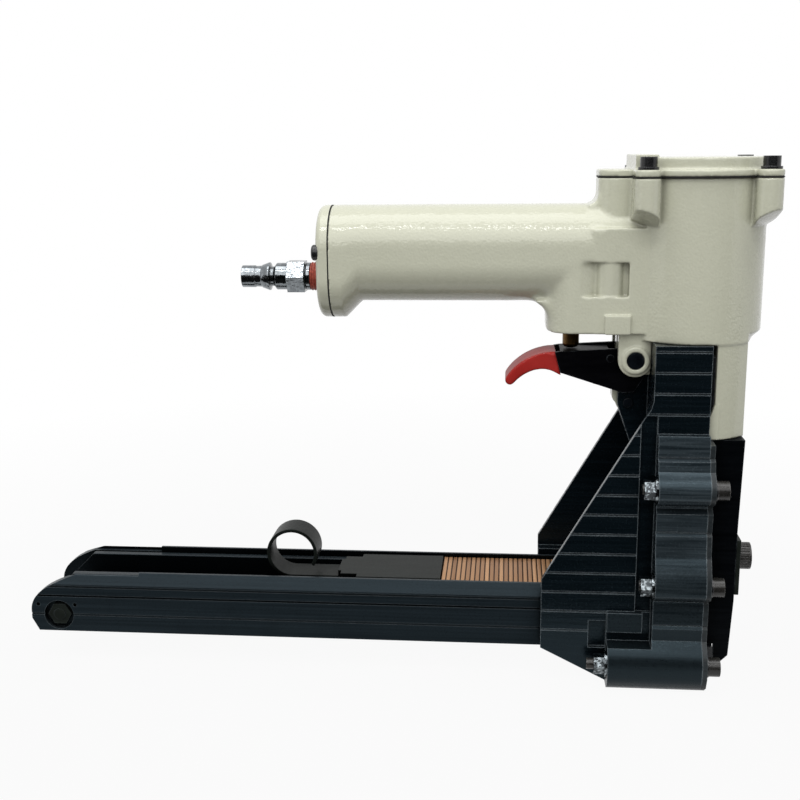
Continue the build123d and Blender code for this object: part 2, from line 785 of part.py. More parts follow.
def turned(point):
    """A point of the left claw, given where the claw ends its swing, moved to where it rests."""
    angle = math.radians(claw_swing)
    y = point[0] - claw_pivot_y
    z = point[1] - claw_pivot_z
    return (claw_pivot_y + y * math.cos(angle) - z * math.sin(angle),
            claw_pivot_z + y * math.sin(angle) + z * math.cos(angle))


def follower_angle(travel):
    """Angle of the follower's arm from upright, in radians, after the driver has moved by travel."""
    rest = math.asin((follower_y - claw_pivot_y) / follower_arm)
    return rest + math.radians(claw_swing) * travel / stroke


def follower_place(travel):
    angle = follower_angle(travel)
    return (claw_pivot_y + follower_arm * math.sin(angle), claw_pivot_z + follower_arm * math.cos(angle))


def tapered_bar(a, b, ra, rb, x):
    """A bar from a to b in the plane of the nose, with round ends."""
    length = math.dist(a, b)
    ny = -(b[1] - a[1]) / length
    nz = (b[0] - a[0]) / length
    corners = [
        (a[0] + ny * ra, a[1] + nz * ra), (b[0] + ny * rb, b[1] + nz * rb),
        (b[0] - ny * rb, b[1] - nz * rb), (a[0] - ny * ra, a[1] - nz * ra),
    ]
    return front(corners, x) + rod_x(ra, x, *a) + rod_x(rb, x, *b)


def claw():
    """The left clincher claw: an arm up to its follower, an arm down and out, and a hook under the staple."""
    pivot = (claw_pivot_y, claw_pivot_z)
    elbow = turned(claw_elbow)
    body = tapered_bar(pivot, follower_place(0), claw_boss_r, 3.7, claw_x)
    body += tapered_bar(pivot, elbow, claw_boss_r, 2.0, claw_x)
    hook_x = (-driver_thick / 2, claw_x[1])
    body += tapered_bar(elbow, turned(claw_tip), 2.0, 0.7, hook_x)
    body -= rod_x(claw_pin_r + run, (-10, 30), *pivot)
    return body - rod_x(follower_r + fit, (-10, 30), *follower_place(0))


def claw_follower():
    return rod_x(follower_r, (claw_x[0], cam_x[1] - clear), *follower_place(0))


def claw_pins():
    x = (driver_thick / 2 + clear, claw_x[1])
    return group([rod_x(claw_pin_r, x, sign * claw_pivot_y, claw_pivot_z) for sign in (-1, 1)])


def cam_slot():
    """The slot that swings the left claw in step with the driver, open at its lower end."""
    half = follower_r + clear
    low = []
    high = []
    steps = 8
    for i in range(steps + 1):
        travel = stroke * i / steps
        y, z = follower_place(travel)
        turn = math.radians(claw_swing) / stroke
        angle = follower_angle(travel)
        dy = follower_arm * math.cos(angle) * turn
        dz = 1.0 - follower_arm * math.sin(angle) * turn
        size = math.hypot(dy, dz)
        low.append((cam_x[0] - 1, y - half * dz / size, z + travel + half * dy / size))
        high.append((cam_x[0] - 1, y + half * dz / size, z + travel - half * dy / size))
    mouth = follower_place(0)[1] - 3 * half
    start = [(cam_x[0] - 1, low[0][1], mouth), low[0]]
    finish = [high[0], (cam_x[0] - 1, high[0][1], mouth)]
    edges = Polyline(*start) + Spline(*low) + Polyline(low[-1], high[-1])
    edges += Spline(*high) + Polyline(*finish) + Polyline(finish[1], start[0])
    slot = extrude(make_face(edges), amount=cam_thick + 2, dir=(1, 0, 0))
    y, z = follower_place(stroke)
    return slot + rod_x(half, (cam_x[0] - 1, cam_x[1] + 1), y, z + stroke)


def cam_plate():
    """Plate on the crosshead with the two cam slots."""
    half = follower_place(stroke)[0] + follower_r + clear + cam_rim
    top = follower_place(stroke)[1] + stroke + follower_r + clear + cam_rim
    bottom = follower_place(0)[1] - follower_r
    plate = across(half, cam_x, (bottom, top))
    plate += across(crosshead_half, cam_x, (top - 1, crosshead_top - 2))
    plate -= both(cam_slot())
    for y, z in cam_screw_places():
        plate -= rod_x(m4_r + fit, (cam_x[0] - 1, cam_x[1] + 1), y, z)
    return plate


def cam_screw_places():
    return [(sign * crosshead_half * 0.55, crosshead_bottom + 5.0) for sign in (-1, 1)]


def cam_screws():
    return group([rod_x(m4_r, (cam_x[0] - 8.0, cam_x[1]), y, z) for y, z in cam_screw_places()])


# Driver and piston

def crosshead():
    """Block that joins the piston rod, the driver blade and the cam plate."""
    head = across(crosshead_half, (-crosshead_rear, cam_x[0]), (crosshead_bottom, crosshead_top))
    tongue = (crosshead_bottom - 1, crosshead_bottom + tongue_height + fit)
    head -= across(tongue_half + fit, (-driver_thick / 2 - fit, driver_thick / 2 + fit), tongue)
    head -= rod_x(2.0 + fit, (-crosshead_rear - 1, cam_x[0] - 9.0), 0, crosshead_bottom + tongue_height / 2)
    for y, z in cam_screw_places():
        head -= rod_x(m4_r + fit, (cam_x[0] - 8.0, cam_x[0] + 1), y, z)
    return head - rod_z(4.0 + fit, (crosshead_top - 4.0, crosshead_top + 1))


def driver_blade():
    thick = (-driver_thick / 2, driver_thick / 2)
    blade = across(blade_half, thick, (blade_tip, crosshead_bottom))
    blade += across(tongue_half, thick, (crosshead_bottom, crosshead_bottom + tongue_height))
    return blade - rod_x(2.0 + fit, (-5, 5), 0, crosshead_bottom + tongue_height / 2)


def driver_pin():
    return rod_x(2.0, (-crosshead_rear, cam_x[0] - 9.0), 0, crosshead_bottom + tongue_height / 2)


def piston_rod():
    neck = 4.0
    shaft = rod_z(rod_r, (crosshead_top, piston_bottom)) + rod_z(neck, (crosshead_top - neck, crosshead_top))
    return shaft + rod_z(neck, (piston_bottom, piston_top))


def piston():
    disc = rod_z(piston_r, (piston_bottom, piston_top)) - rod_z(4.0 + fit, (piston_bottom, piston_top))
    groove = (piston_bottom + 3.2, piston_bottom + 6.2)
    return disc - tube_z(piston_r + 1, piston_r - 2.5, groove)


def piston_seal():
    groove = (piston_bottom + 3.2, piston_bottom + 6.2)
    return tube_z(bore_r - run, piston_r - 2.5 + fit, groove)


def cylinder_liner():
    return tube_z(bore_r + liner_wall, bore_r, (bore_floor, housing_top))


def piston_bumper():
    ring = tube_z(bore_r - 0.2, rod_r + 2.5, (bore_floor, bumper_top))
    return ring - tube_z(bore_r, rod_r + 9.0, (bumper_top - 2.5, bumper_top))


def rod_bush():
    return tube_z(rod_r + 4.5, rod_r + run, (housing_bottom, bore_floor))


# Housing

def handle_flange():
    """The end of the handle, deeper than the grip, with a taper that leads into it."""
    ends = (-handle_rear, -handle_rear + flange_thick)
    lip = oblong(2 * flange_half, flange_height, flange_round, flange_z, ends)
    deep = RectangleRounded(2 * flange_half, flange_height, flange_round)
    slim = RectangleRounded(2 * handle_half, handle_height, handle_round)
    big = Plane.YZ.offset(ends[1]) * (Pos(0, flange_z) * deep)
    small = Plane.YZ.offset(ends[1] + flange_taper) * (Pos(0, handle_z) * slim)
    return lip + loft([big.face(), small.face()])


def valve_tower():
    """The block under the handle that holds the trigger valve."""
    tower = across(handle_half - 0.1, (-valve_rear, -column_rear / 2), (valve_bottom, handle_z))
    tower = fillet(tower.edges().filter_by(Axis.Z).group_by(Axis.X)[0], valve_round)
    cove_r = 5.5
    cove_x = -valve_rear - cove_r
    cove = across(junction_half - 5, (cove_x, -valve_rear + 2), (handle_bottom - cove_r, handle_bottom + 2))
    return tower + (cove - rod_y(cove_r, (-junction_half, junction_half), cove_x, handle_bottom - cove_r))


def column():
    """The air column at the back of the cylinder, and the wider junction below it."""
    body = across(column_half, (-column_rear, 0), (handle_z, housing_top))
    body = fillet(body.edges().filter_by(Axis.Z).group_by(Axis.X)[0], column_round)
    height = (valve_bottom, handle_z + junction_rise)
    junction = across(junction_half, (-junction_rear, -column_rear / 2), height)
    junction = fillet(junction.edges().filter_by(Axis.Z).group_by(Axis.X)[0], junction_round)
    cove_x = -column_rear - column_cove
    cove_z = flange_top + column_cove
    cove = across(column_half - 4, (cove_x, -column_rear + 1), (flange_top - 6, cove_z))
    cove -= rod_y(column_cove, (-column_half, column_half), cove_x, cove_z)
    return body + junction + cove


def flank_pocket():
    """The recess in one flank of the junction, with an upright post left standing in it."""
    z = [handle_z + rise for rise in pocket_rise]
    floor = junction_half - pocket_deep
    outline = [
        (pocket_x[0] - 2, junction_half + 2), (pocket_x[0] - 1, junction_half),
        (pocket_x[0] + pocket_slope, floor), (pocket_x[1], floor), (pocket_x[1], junction_half + 2),
    ]
    face = make_face(Polyline(*[(x, y, z[0]) for x, y in outline], close=True))
    recess = extrude(face, amount=z[1] - z[0], dir=(0, 0, 1))
    return recess - rod_z(post_r, z, -post_x, junction_half - post_r - clear)


def ears():
    """Two ears for the trigger pin, and the middle web down to the lug of the rear bracket."""
    outer = ear_inner + ear_thick
    rear = -trigger_x - ear_r
    ear = block((rear, -neck_rear), (ear_inner, outer), (trigger_z, housing_bottom + 12))
    ear += rod_y(ear_r, (ear_inner, outer), -trigger_x, trigger_z)
    ear += block((-trigger_x, -neck_rear), (ear_inner, outer - 1.4), (trigger_z - ear_r + 1, trigger_z + 1))
    ear += rod_y(ear_r - 1.5, (outer, outer + ear_ring), -trigger_x, trigger_z)
    ear -= block((-neck_rear, 0), (0, 2 * outer), (0, housing_bottom))
    step_z = (valve_bottom, housing_bottom + 11.4)
    ear += block((rear - 6.5, rear + 4.5), (ear_inner, junction_half + step_out), step_z)
    web = across(lug_half, (-lug_x - 5.5, -neck_rear - 0.2), (lug_z, housing_bottom + 2))
    web += rod_y(lug_r, (-lug_half, lug_half), -lug_x, lug_z)
    tab_x = -lug_x - lug_tab_x
    tab_z = lug_z + lug_tab_rise
    web += rod_y(lug_tab_r, (-lug_half, lug_half), tab_x, tab_z)
    web += across(lug_half, (tab_x - lug_tab_r, -lug_x), (tab_z, tab_z + 6))
    web -= across(lug_half + 1, (-neck_rear - 0.2, 0), (0, housing_bottom))
    return both(ear) + web


def leg():
    """The front leg that carries the nose, with wings that wrap the edges of the front plate."""
    shank_z = (leg_bottom, housing_bottom + 6)
    shank = across(leg_half, (plate_front, leg_front), shank_z)
    shank &= rod_z(barrel_r - 0.5, shank_z)
    wing = [
        (plate_front, leg_bottom + 16), (frame_front - 1.0, leg_bottom + 6), (frame_front - 1.0, leg_bottom),
        (plate_front + 2, leg_bottom), (plate_front + 2, leg_bottom + 16),
    ]
    room = across(leg_half, (frame_front, leg_front), (0, frame_height))
    shank += both(side(wing, (cover_half, leg_half))) & room
    throat = Pos(0, 0, housing_bottom + 2) * Cone(leg_front + 3.0, barrel_r, 12.0)
    return shank + (throat & across(leg_half, (plate_front, 40), (housing_bottom - 6, housing_bottom + 10)))


def main_housing():
    """The cast housing: cylinder, head bosses, handle, valve block, ears and front leg."""
    body = rod_z(barrel_r, (housing_bottom, housing_top))
    brim = Pos(0, 0, housing_bottom + barrel_lip / 2) * Cone(barrel_r - barrel_lip, barrel_r, barrel_lip)
    ahead = (leg_front, 2 * barrel_r)
    body -= across(barrel_r, ahead, (housing_bottom, housing_bottom + barrel_lip)) - brim
    boss_bottom = housing_top - cap_boss_length
    body += head_lobes((boss_bottom, housing_top))
    reach = math.hypot(cap_bolt_x, cap_bolt_y) + cap_boss_r
    slope = Pos(0, 0, boss_bottom - cap_boss_taper / 2) * Cone(barrel_r - 0.5, reach, cap_boss_taper)
    body += head_lobes((boss_bottom - cap_boss_taper, boss_bottom)) & slope
    body += oblong(2 * handle_half, handle_height, handle_round, handle_z, (-handle_rear + flange_thick, 0))
    body += handle_flange()
    body += valve_tower()
    body += column()
    body -= both(flank_pocket())
    body += ears()
    body += leg()
    chamber = (-handle_rear - 1, -bore_r - liner_wall - 6.0)
    body -= oblong(2 * chamber_half, chamber_height, chamber_round, handle_z, chamber)
    body -= rod_z(bore_r + liner_wall + fit, (bore_floor, housing_top + 1))
    body -= rod_z(rod_r + 4.5 + fit, (housing_bottom - 1, bore_floor + 1))
    body -= across(8.0, (-column_rear + 5, chamber[1]), (handle_z, housing_top + 1))
    body -= rod_z(valve_bush_r + fit, (valve_bottom - 1, valve_bottom + valve_bush_height), -valve_x)
    body -= rod_z(valve_bush_r - 2, (valve_bottom, handle_z), -valve_x)
    body -= rod_y(trigger_pin_r + fit, (-40, 40), -trigger_x, trigger_z)
    body -= rod_y(bracket_pin_r + fit, (-20, 20), -lug_x, lug_z)
    for x, y in cap_bolts:
        body -= rod_z(m4_r + fit, (housing_top - cap_boss_length, housing_top + 1), x, y)
    for x, y in housing_screw_places():
        body -= rod_z(m5_r + fit, (housing_bottom - 1, bore_floor - 1.0 + fit), x, y)
    for y in (-end_screw_y, end_screw_y):
        body -= rod_x(m4_r + fit, (-handle_rear - 1, -handle_rear + 12), y, end_screw_z)
    for y, z in leg_screw_places():
        body -= rod_x(m5_r + fit, (plate_front - 1, frame_front + leg_screw_reach), y, z)
    return body


def head_lobes(z):
    """Four round lobes for the cap screws, each joined straight to the cylinder."""
    lobes = rod_z(barrel_r, z)
    for x, y in cap_bolts:
        lobes += rod_z(cap_boss_r, z, x, y)
        lobes += block((x - cap_boss_r, x + cap_boss_r), sorted((0, y)), z)
    return lobes


def head_outline(z):
    """The outline of the cylinder's head as a plate: round, with four bolt ears and the column."""
    back = across(column_half, (-column_rear, 0), z)
    back = fillet(back.edges().filter_by(Axis.Z).group_by(Axis.X)[0], column_round)
    return rod_z(cap_rim_r, z) + head_lobes(z) + back


def cylinder_cap():
    cap = head_outline((cap_bottom, cap_seat))
    raised = (cap_seat, cap_seat + cap_dome)
    dome = rod_z(cap_dome_r, raised)
    dome += across(cap_block_half, cap_block_x, (cap_seat, cap_seat + cap_block))
    for x, y in cap_bolts:
        dome -= rod_z(cap_spot_r, (cap_seat, cap_seat + cap_block), x, y)
        cap -= rod_z(m4_r + fit, (cap_bottom - 1, cap_seat + 1), x, y)
    return cap + dome


def cap_gasket():
    ring = head_outline((housing_top, cap_bottom)) - rod_z(bore_r, (housing_top - 1, cap_bottom + 1))
    for x, y in cap_bolts:
        ring -= rod_z(m4_r + fit, (housing_top - 1, cap_bottom + 1), x, y)
    return ring


def cap_screws():
    """Socket head screws of the cap."""
    pieces = []
    seat = cap_seat + m5_washer
    for x, y in cap_bolts:
        screw = rod_z(m4_r, (housing_top - cap_boss_length + 1, seat), x, y)
        screw += rod_z(cap_head_r, (seat, seat + cap_head), x, y)
        socket = Pos(x, y, seat + cap_head * 0.45) * RegularPolygon(0.8 * m4_r, 6, major_radius=False)
        pieces.append(screw - extrude(socket, amount=cap_head))
    return group(pieces)


def cap_washers():
    z = (cap_seat, cap_seat + m5_washer)
    return group([tube_z(cap_washer_r, m4_r + fit, z, x, y) for x, y in cap_bolts])


def end_plate(x):
    return oblong(2 * flange_half, flange_height, flange_round, flange_z, x)


def handle_end_cap():
    cap = end_plate((end_cap_rear, end_cap_front))
    cap = fillet(cap.edges().group_by(Axis.X)[0], end_cap_round)
    cap -= rod_x(plug_thread_r + fit, (end_cap_rear - 1, end_cap_front + 1), 0, plug_z)
    for y in (-end_screw_y, end_screw_y):
        cap -= rod_x(m4_r + fit, (end_cap_rear - 1, end_cap_front + 1), y, end_screw_z)
        cap -= rod_x(m4_head_r + 0.3, (end_cap_rear - 1, end_cap_rear + 1.2), y, end_screw_z)
    return cap


def end_cap_gasket():
    x = (end_cap_front, -handle_rear)
    ring = end_plate(x) - oblong(2 * chamber_half, chamber_height, chamber_round, handle_z, x)
    for y in (-end_screw_y, end_screw_y):
        ring -= rod_x(m4_r + fit, (x[0] - 1, x[1] + 1), y, end_screw_z)
    return ring


def end_cap_screws():
    pieces = []
    seat = end_cap_rear + 1.2
    for y in (-end_screw_y, end_screw_y):
        screw = rod_x(m4_r, (seat, -handle_rear + 11), y, end_screw_z)
        head = rod_x(m4_head_r, (seat - m4_head - 0.8, seat), y, end_screw_z)
        head = fillet(head.edges().group_by(Axis.X)[0], 1.2)
        pieces.append(screw + (head - hexagon_x(2.5, (seat - m4_head - 1, seat - 1.4), y, end_screw_z)))
    return group(pieces)


def turned_x(profile, z):
    """A turned piece about an axis along X, from pairs of X and radius."""
    points = [(profile[0][0], 0.0)] + list(profile) + [(profile[-1][0], 0.0)]
    outline = make_face(Polyline(*[(x, 0, z + r) for x, r in points], close=True))
    return revolve(outline, axis=Axis((0, 0, z), (1, 0, 0)), revolution_arc=360)


def plug_hex_x():
    """The rear and front ends of the plug's hexagon."""
    front_end = end_cap_rear - plug_collar
    return (front_end - plug_hex_length, front_end)


def air_plug():
    """Quick-connect plug: nose, locking groove, shoulder, hexagon and pipe thread."""
    hexagon = plug_hex_x()
    x = hexagon[0]
    nose = x - plug_stem
    profile = [
        (nose, plug_nose_r), (nose + plug_nose, plug_nose_r), (nose + plug_nose + 0.3, plug_nose_r - 0.3),
        (nose + 9.2, plug_nose_r - 0.15), (nose + 9.5, plug_nose_r + 0.25), (nose + 12.5, 6.4),
        (nose + 13.1, 6.4), (nose + 13.4, 4.5), (nose + 15.0, 4.5), (nose + 16.0, 5.9), (nose + 16.4, 6.15),
        (x + 0.5, 6.15), (hexagon[1] - 0.5, 5.9), (hexagon[1] + 0.5, 5.9), (hexagon[1] + 0.8, 6.3),
        (end_cap_rear - sealant - 0.2, 6.3), (end_cap_rear - sealant, 5.6),
        (end_cap_rear, 5.6), (end_cap_rear, plug_thread_r), (end_cap_front, plug_thread_r),
    ]
    plug = turned_x(profile, plug_z) + hexagon_x(plug_hex, hexagon, 0, plug_z)
    return plug - rod_x(plug_bore_r, (nose - 1, end_cap_front + 1), 0, plug_z)


def thread_sealant():
    """The red sealant on the stretch of thread that shows."""
    x = (end_cap_rear - sealant, end_cap_rear)
    pitch = sealant / sealant_ridges
    crests = [(x[0], plug_thread_r - 0.4)]
    for i in range(sealant_ridges):
        crests.append((x[0] + (i + 0.5) * pitch, plug_thread_r))
        crests.append((x[0] + (i + 1) * pitch, plug_thread_r - 0.4))
    return turned_x(crests, plug_z) - rod_x(5.6 + fit, x, 0, plug_z)


# Trigger and its valve

def trigger_valve_body():
    z = (valve_bottom - 0.6, valve_bottom + valve_bush_height - 2.0)
    bush = rod_z(valve_bush_r, z, -valve_x)
    bush -= rod_z(stem_r + run, (z[0] - 1, stem_bottom + stem_height + 4.5), -valve_x)
    bush -= rod_z(1.5, (z[0], z[1] + 1), -valve_x)
    for height in (3.0, 11.0):
        bush -= tube_z(valve_bush_r + 1, valve_bush_r - 1.2, (z[0] + height, z[0] + height + 1.8), -valve_x)
    return bush


def valve_seals():
    z = valve_bottom - 0.6
    rings = []
    for height in (3.0, 11.0):
        rings.append(tube_z(valve_bush_r, valve_bush_r - 1.2 + fit, (z + height, z + height + 1.8), -valve_x))
    return group(rings)


def valve_stem():
    stem = rod_z(stem_r, (stem_bottom, stem_bottom + stem_height), -valve_x)
    stem = fillet(stem.edges().group_by(Axis.Z)[0], 2.0)
    return stem - tube_z(stem_r + 1, stem_r - 0.7, (stem_bottom + 7.6, stem_bottom + 8.6), -valve_x)


def trigger_pin():
    reach = ear_inner + ear_thick + ear_ring
    pin = rod_y(trigger_pin_r, (-reach, reach), -trigger_x, trigger_z)
    return pin - both(tube_y(trigger_pin_r + 1, trigger_pin_r - 0.6, (reach - 0.6, reach - 0.2)))


def tube_y(outer, inner, y):
    return rod_y(outer, y, -trigger_x, trigger_z) - rod_y(inner, y, -trigger_x, trigger_z)


def lever_outline():
    """The outline of a cheek of the lever, in X and Z."""
    return [
        (-lever_end - lever_rake + run, lever_top - 0.4), (-lever_end, lever_top),
        (-trigger_x - 7, lever_top + 1.4), (-trigger_x + 2, trigger_z + 6.2),
        (-trigger_x + 5.4, trigger_z + 1), (-trigger_x + 4.5, trigger_z - 9),
        (-trigger_x + 0.5, trigger_z - 15.5), (-trigger_x - 4.5, trigger_z - 16.0),
        (-lever_end + run, trigger_z - 7),
    ]


def trigger_lever():
    """Folded steel lever: two cheeks on the pin, a web on top, a tongue inside the grip."""
    cheek = side(lever_outline(), (lever_half - lever_sheet, lever_half))
    lever = both(cheek)
    lever += across(lever_half, (-lever_end, -trigger_x - 10.6), (lever_top - lever_sheet, lever_top))
    lever += rod_y(rivet_r, (-lever_half - 0.6, lever_half + 0.6), -rivet_x, trigger_z - 0.3)
    stay_z = trigger_z - 12.0
    lever += across(lever_half, (-lever_end + 15, -lever_end + 17), (stay_z, stay_z + 3))
    lever += across(lever_half, (-lever_end, -lever_end + 4), lever_tongue_z)
    lever += across(lever_tongue_half, (-lever_end - lever_tongue, -lever_end), lever_tongue_z)
    return lever - rod_y(trigger_pin_r + run, (-40, 40), -trigger_x, trigger_z)


def grip_profile():
    """The side of the grip: a hooked finger piece, as a closed run of curves."""
    x = -lever_end
    z = lever_top
    heel = (x - lever_rake, 0, z - 0.4)
    toe = (x, 0, z - 11.4)
    nail = (x - 24.4, 0, z - 12.4)
    pad = (x - 20.8, 0, z - 15.2)
    upper = Spline(nail, (x - 19.8, 0, z - 7.0), (x - 12.8, 0, z - 2.6), heel)
    lower = Spline(toe, (x - 9.8, 0, z - 8.6), (x - 14.6, 0, z - 10.2), pad)
    tip = ThreePointArc(pad, (x - 24.0, 0, z - 15.4), nail)
    return make_face(upper + Polyline(heel, toe) + lower + tip)


def trigger_grip():
    face = Pos(0, -grip_half, 0) * grip_profile()
    grip = extrude(face, amount=2 * grip_half, dir=(0, 1, 0))
    pocket_z = (lever_tongue_z[0] - fit, lever_tongue_z[1] + fit)
    grip -= across(lever_tongue_half + fit, (-lever_end - lever_tongue - fit, 0), pocket_z)
    return grip - side([(-lever_end, 0), (0, 0), (0, 300), (-lever_end, 300)], (-50, 50))


bolts, lock_washers, nuts = frame_bolt_set()
left_claw = claw()
left_follower = claw_follower()
left_rail = rail()

nodes = {
    "main_housing": main_housing(),
    "cylinder_liner": cylinder_liner(),
    "piston_bumper": piston_bumper(),
    "rod_bush": rod_bush(),
    "cap_gasket": cap_gasket(),
    "cylinder_cap": cylinder_cap(),
    "cap_screws": cap_screws(),
    "cap_washers": cap_washers(),
    "end_cap_gasket": end_cap_gasket(),
    "handle_end_cap": handle_end_cap(),
    "end_cap_screws": end_cap_screws(),
    "thread_sealant": thread_sealant(),
    "air_plug": air_plug(),
    "trigger_valve_body": trigger_valve_body(),
    "valve_seals": valve_seals(),
    "valve_stem": valve_stem(),
    "trigger_pin": trigger_pin(),
    "trigger_lever": trigger_lever(),
    "trigger_grip": trigger_grip(),
    "side_frame": side_frame(),
    "housing_screws": housing_screws(),
    "front_plate": front_plate(),
    "front_guide": front_guide(),
    "rear_guide": rear_guide(),
    "rear_plate": rear_plate(),
    "rear_bracket": rear_bracket(),
    "bracket_pin": bracket_pin(),
    "frame_bolts": bolts,
    "frame_lock_washers": lock_washers,
    "frame_nuts": nuts,
    "leg_screws": leg_screws(),
    "front_cover": front_cover(),
    "cover_screws": cover_screws(),
    "adjuster_plate": adjuster_plate(),
    "adjuster_knob": adjuster_knob(),
    "clincher_left": left_claw,
    "clincher_right": mirror(left_claw, about=Plane.XZ),
    "follower_left": left_follower,
    "follower_right": mirror(left_follower, about=Plane.XZ),
    "clincher_pins": claw_pins(),
    "cam_plate": cam_plate(),
    "cam_screws": cam_screws(),
    "crosshead": crosshead(),
    "driver_blade": driver_blade(),
    "driver_pin": driver_pin(),
    "piston_rod": piston_rod(),
    "piston": piston(),
    "piston_seal": piston_seal(),
    "magazine_rail_left": left_rail,
    "magazine_rail_right": mirror(left_rail, about=Plane.XZ),
    "magazine_floor": magazine_floor(),
    "staple_core": staple_core(),
    "magazine_tie": magazine_tie(),
    "staple_strip": staple_strip(),
    "pusher_plate": pusher_plate(),
    "pusher_slider": pusher_slider(),
    "spring_roll": spring_roll(),
    "spring_band": spring_band(),
    "spring_anchor": spring_anchor(),
}

os.makedirs("parts", exist_ok=True)
for name, shape in nodes.items():
    export_step(shape, f"parts/{name}.step")
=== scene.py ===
import json
import math

import bmesh
import bpy
import numpy as np
from mathutils import Matrix, Vector


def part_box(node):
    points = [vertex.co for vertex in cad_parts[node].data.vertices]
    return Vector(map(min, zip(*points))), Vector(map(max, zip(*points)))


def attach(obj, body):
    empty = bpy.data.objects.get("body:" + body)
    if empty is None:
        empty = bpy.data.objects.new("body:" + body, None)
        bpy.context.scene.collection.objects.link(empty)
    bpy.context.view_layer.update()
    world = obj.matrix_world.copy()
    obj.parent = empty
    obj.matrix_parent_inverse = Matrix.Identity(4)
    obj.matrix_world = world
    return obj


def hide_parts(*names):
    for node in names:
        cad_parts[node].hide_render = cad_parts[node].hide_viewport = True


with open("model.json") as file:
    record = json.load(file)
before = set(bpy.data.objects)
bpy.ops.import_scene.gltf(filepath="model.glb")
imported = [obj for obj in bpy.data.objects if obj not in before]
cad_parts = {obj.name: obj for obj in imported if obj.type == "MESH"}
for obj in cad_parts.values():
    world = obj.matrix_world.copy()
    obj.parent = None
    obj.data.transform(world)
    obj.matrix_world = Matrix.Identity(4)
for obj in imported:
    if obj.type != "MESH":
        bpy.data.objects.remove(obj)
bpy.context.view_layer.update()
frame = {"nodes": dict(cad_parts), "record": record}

nodes = frame["nodes"]
MM = 0.001
WELD_REACH = 1e-6  # metres; joins the doubled points of a loaded mesh
scene = bpy.context.scene
scene.view_settings.view_transform = "Standard"


# Camera, fitted to the photograph: its lens, its axes and its place in mm

camera_data = bpy.data.cameras.new("camera")
camera_data.lens = 50.6
camera_data.sensor_width = 36.0
camera_data.clip_start = 0.01
camera_data.clip_end = 20.0
camera = bpy.data.objects.new("camera", camera_data)
scene.collection.objects.link(camera)
right = Vector((0.9956, 0.0931, -0.0107)).normalized()
back = Vector((0.0932, -0.9713, 0.2188)).normalized()
up = back.cross(right).normalized()
right = up.cross(back).normalized()
place = Matrix((right, up, back)).transposed().to_4x4()
place.translation = Vector((-83.5, -512.4, 239.4)) * MM
camera.matrix_world = place
scene.camera = camera


# Node materials

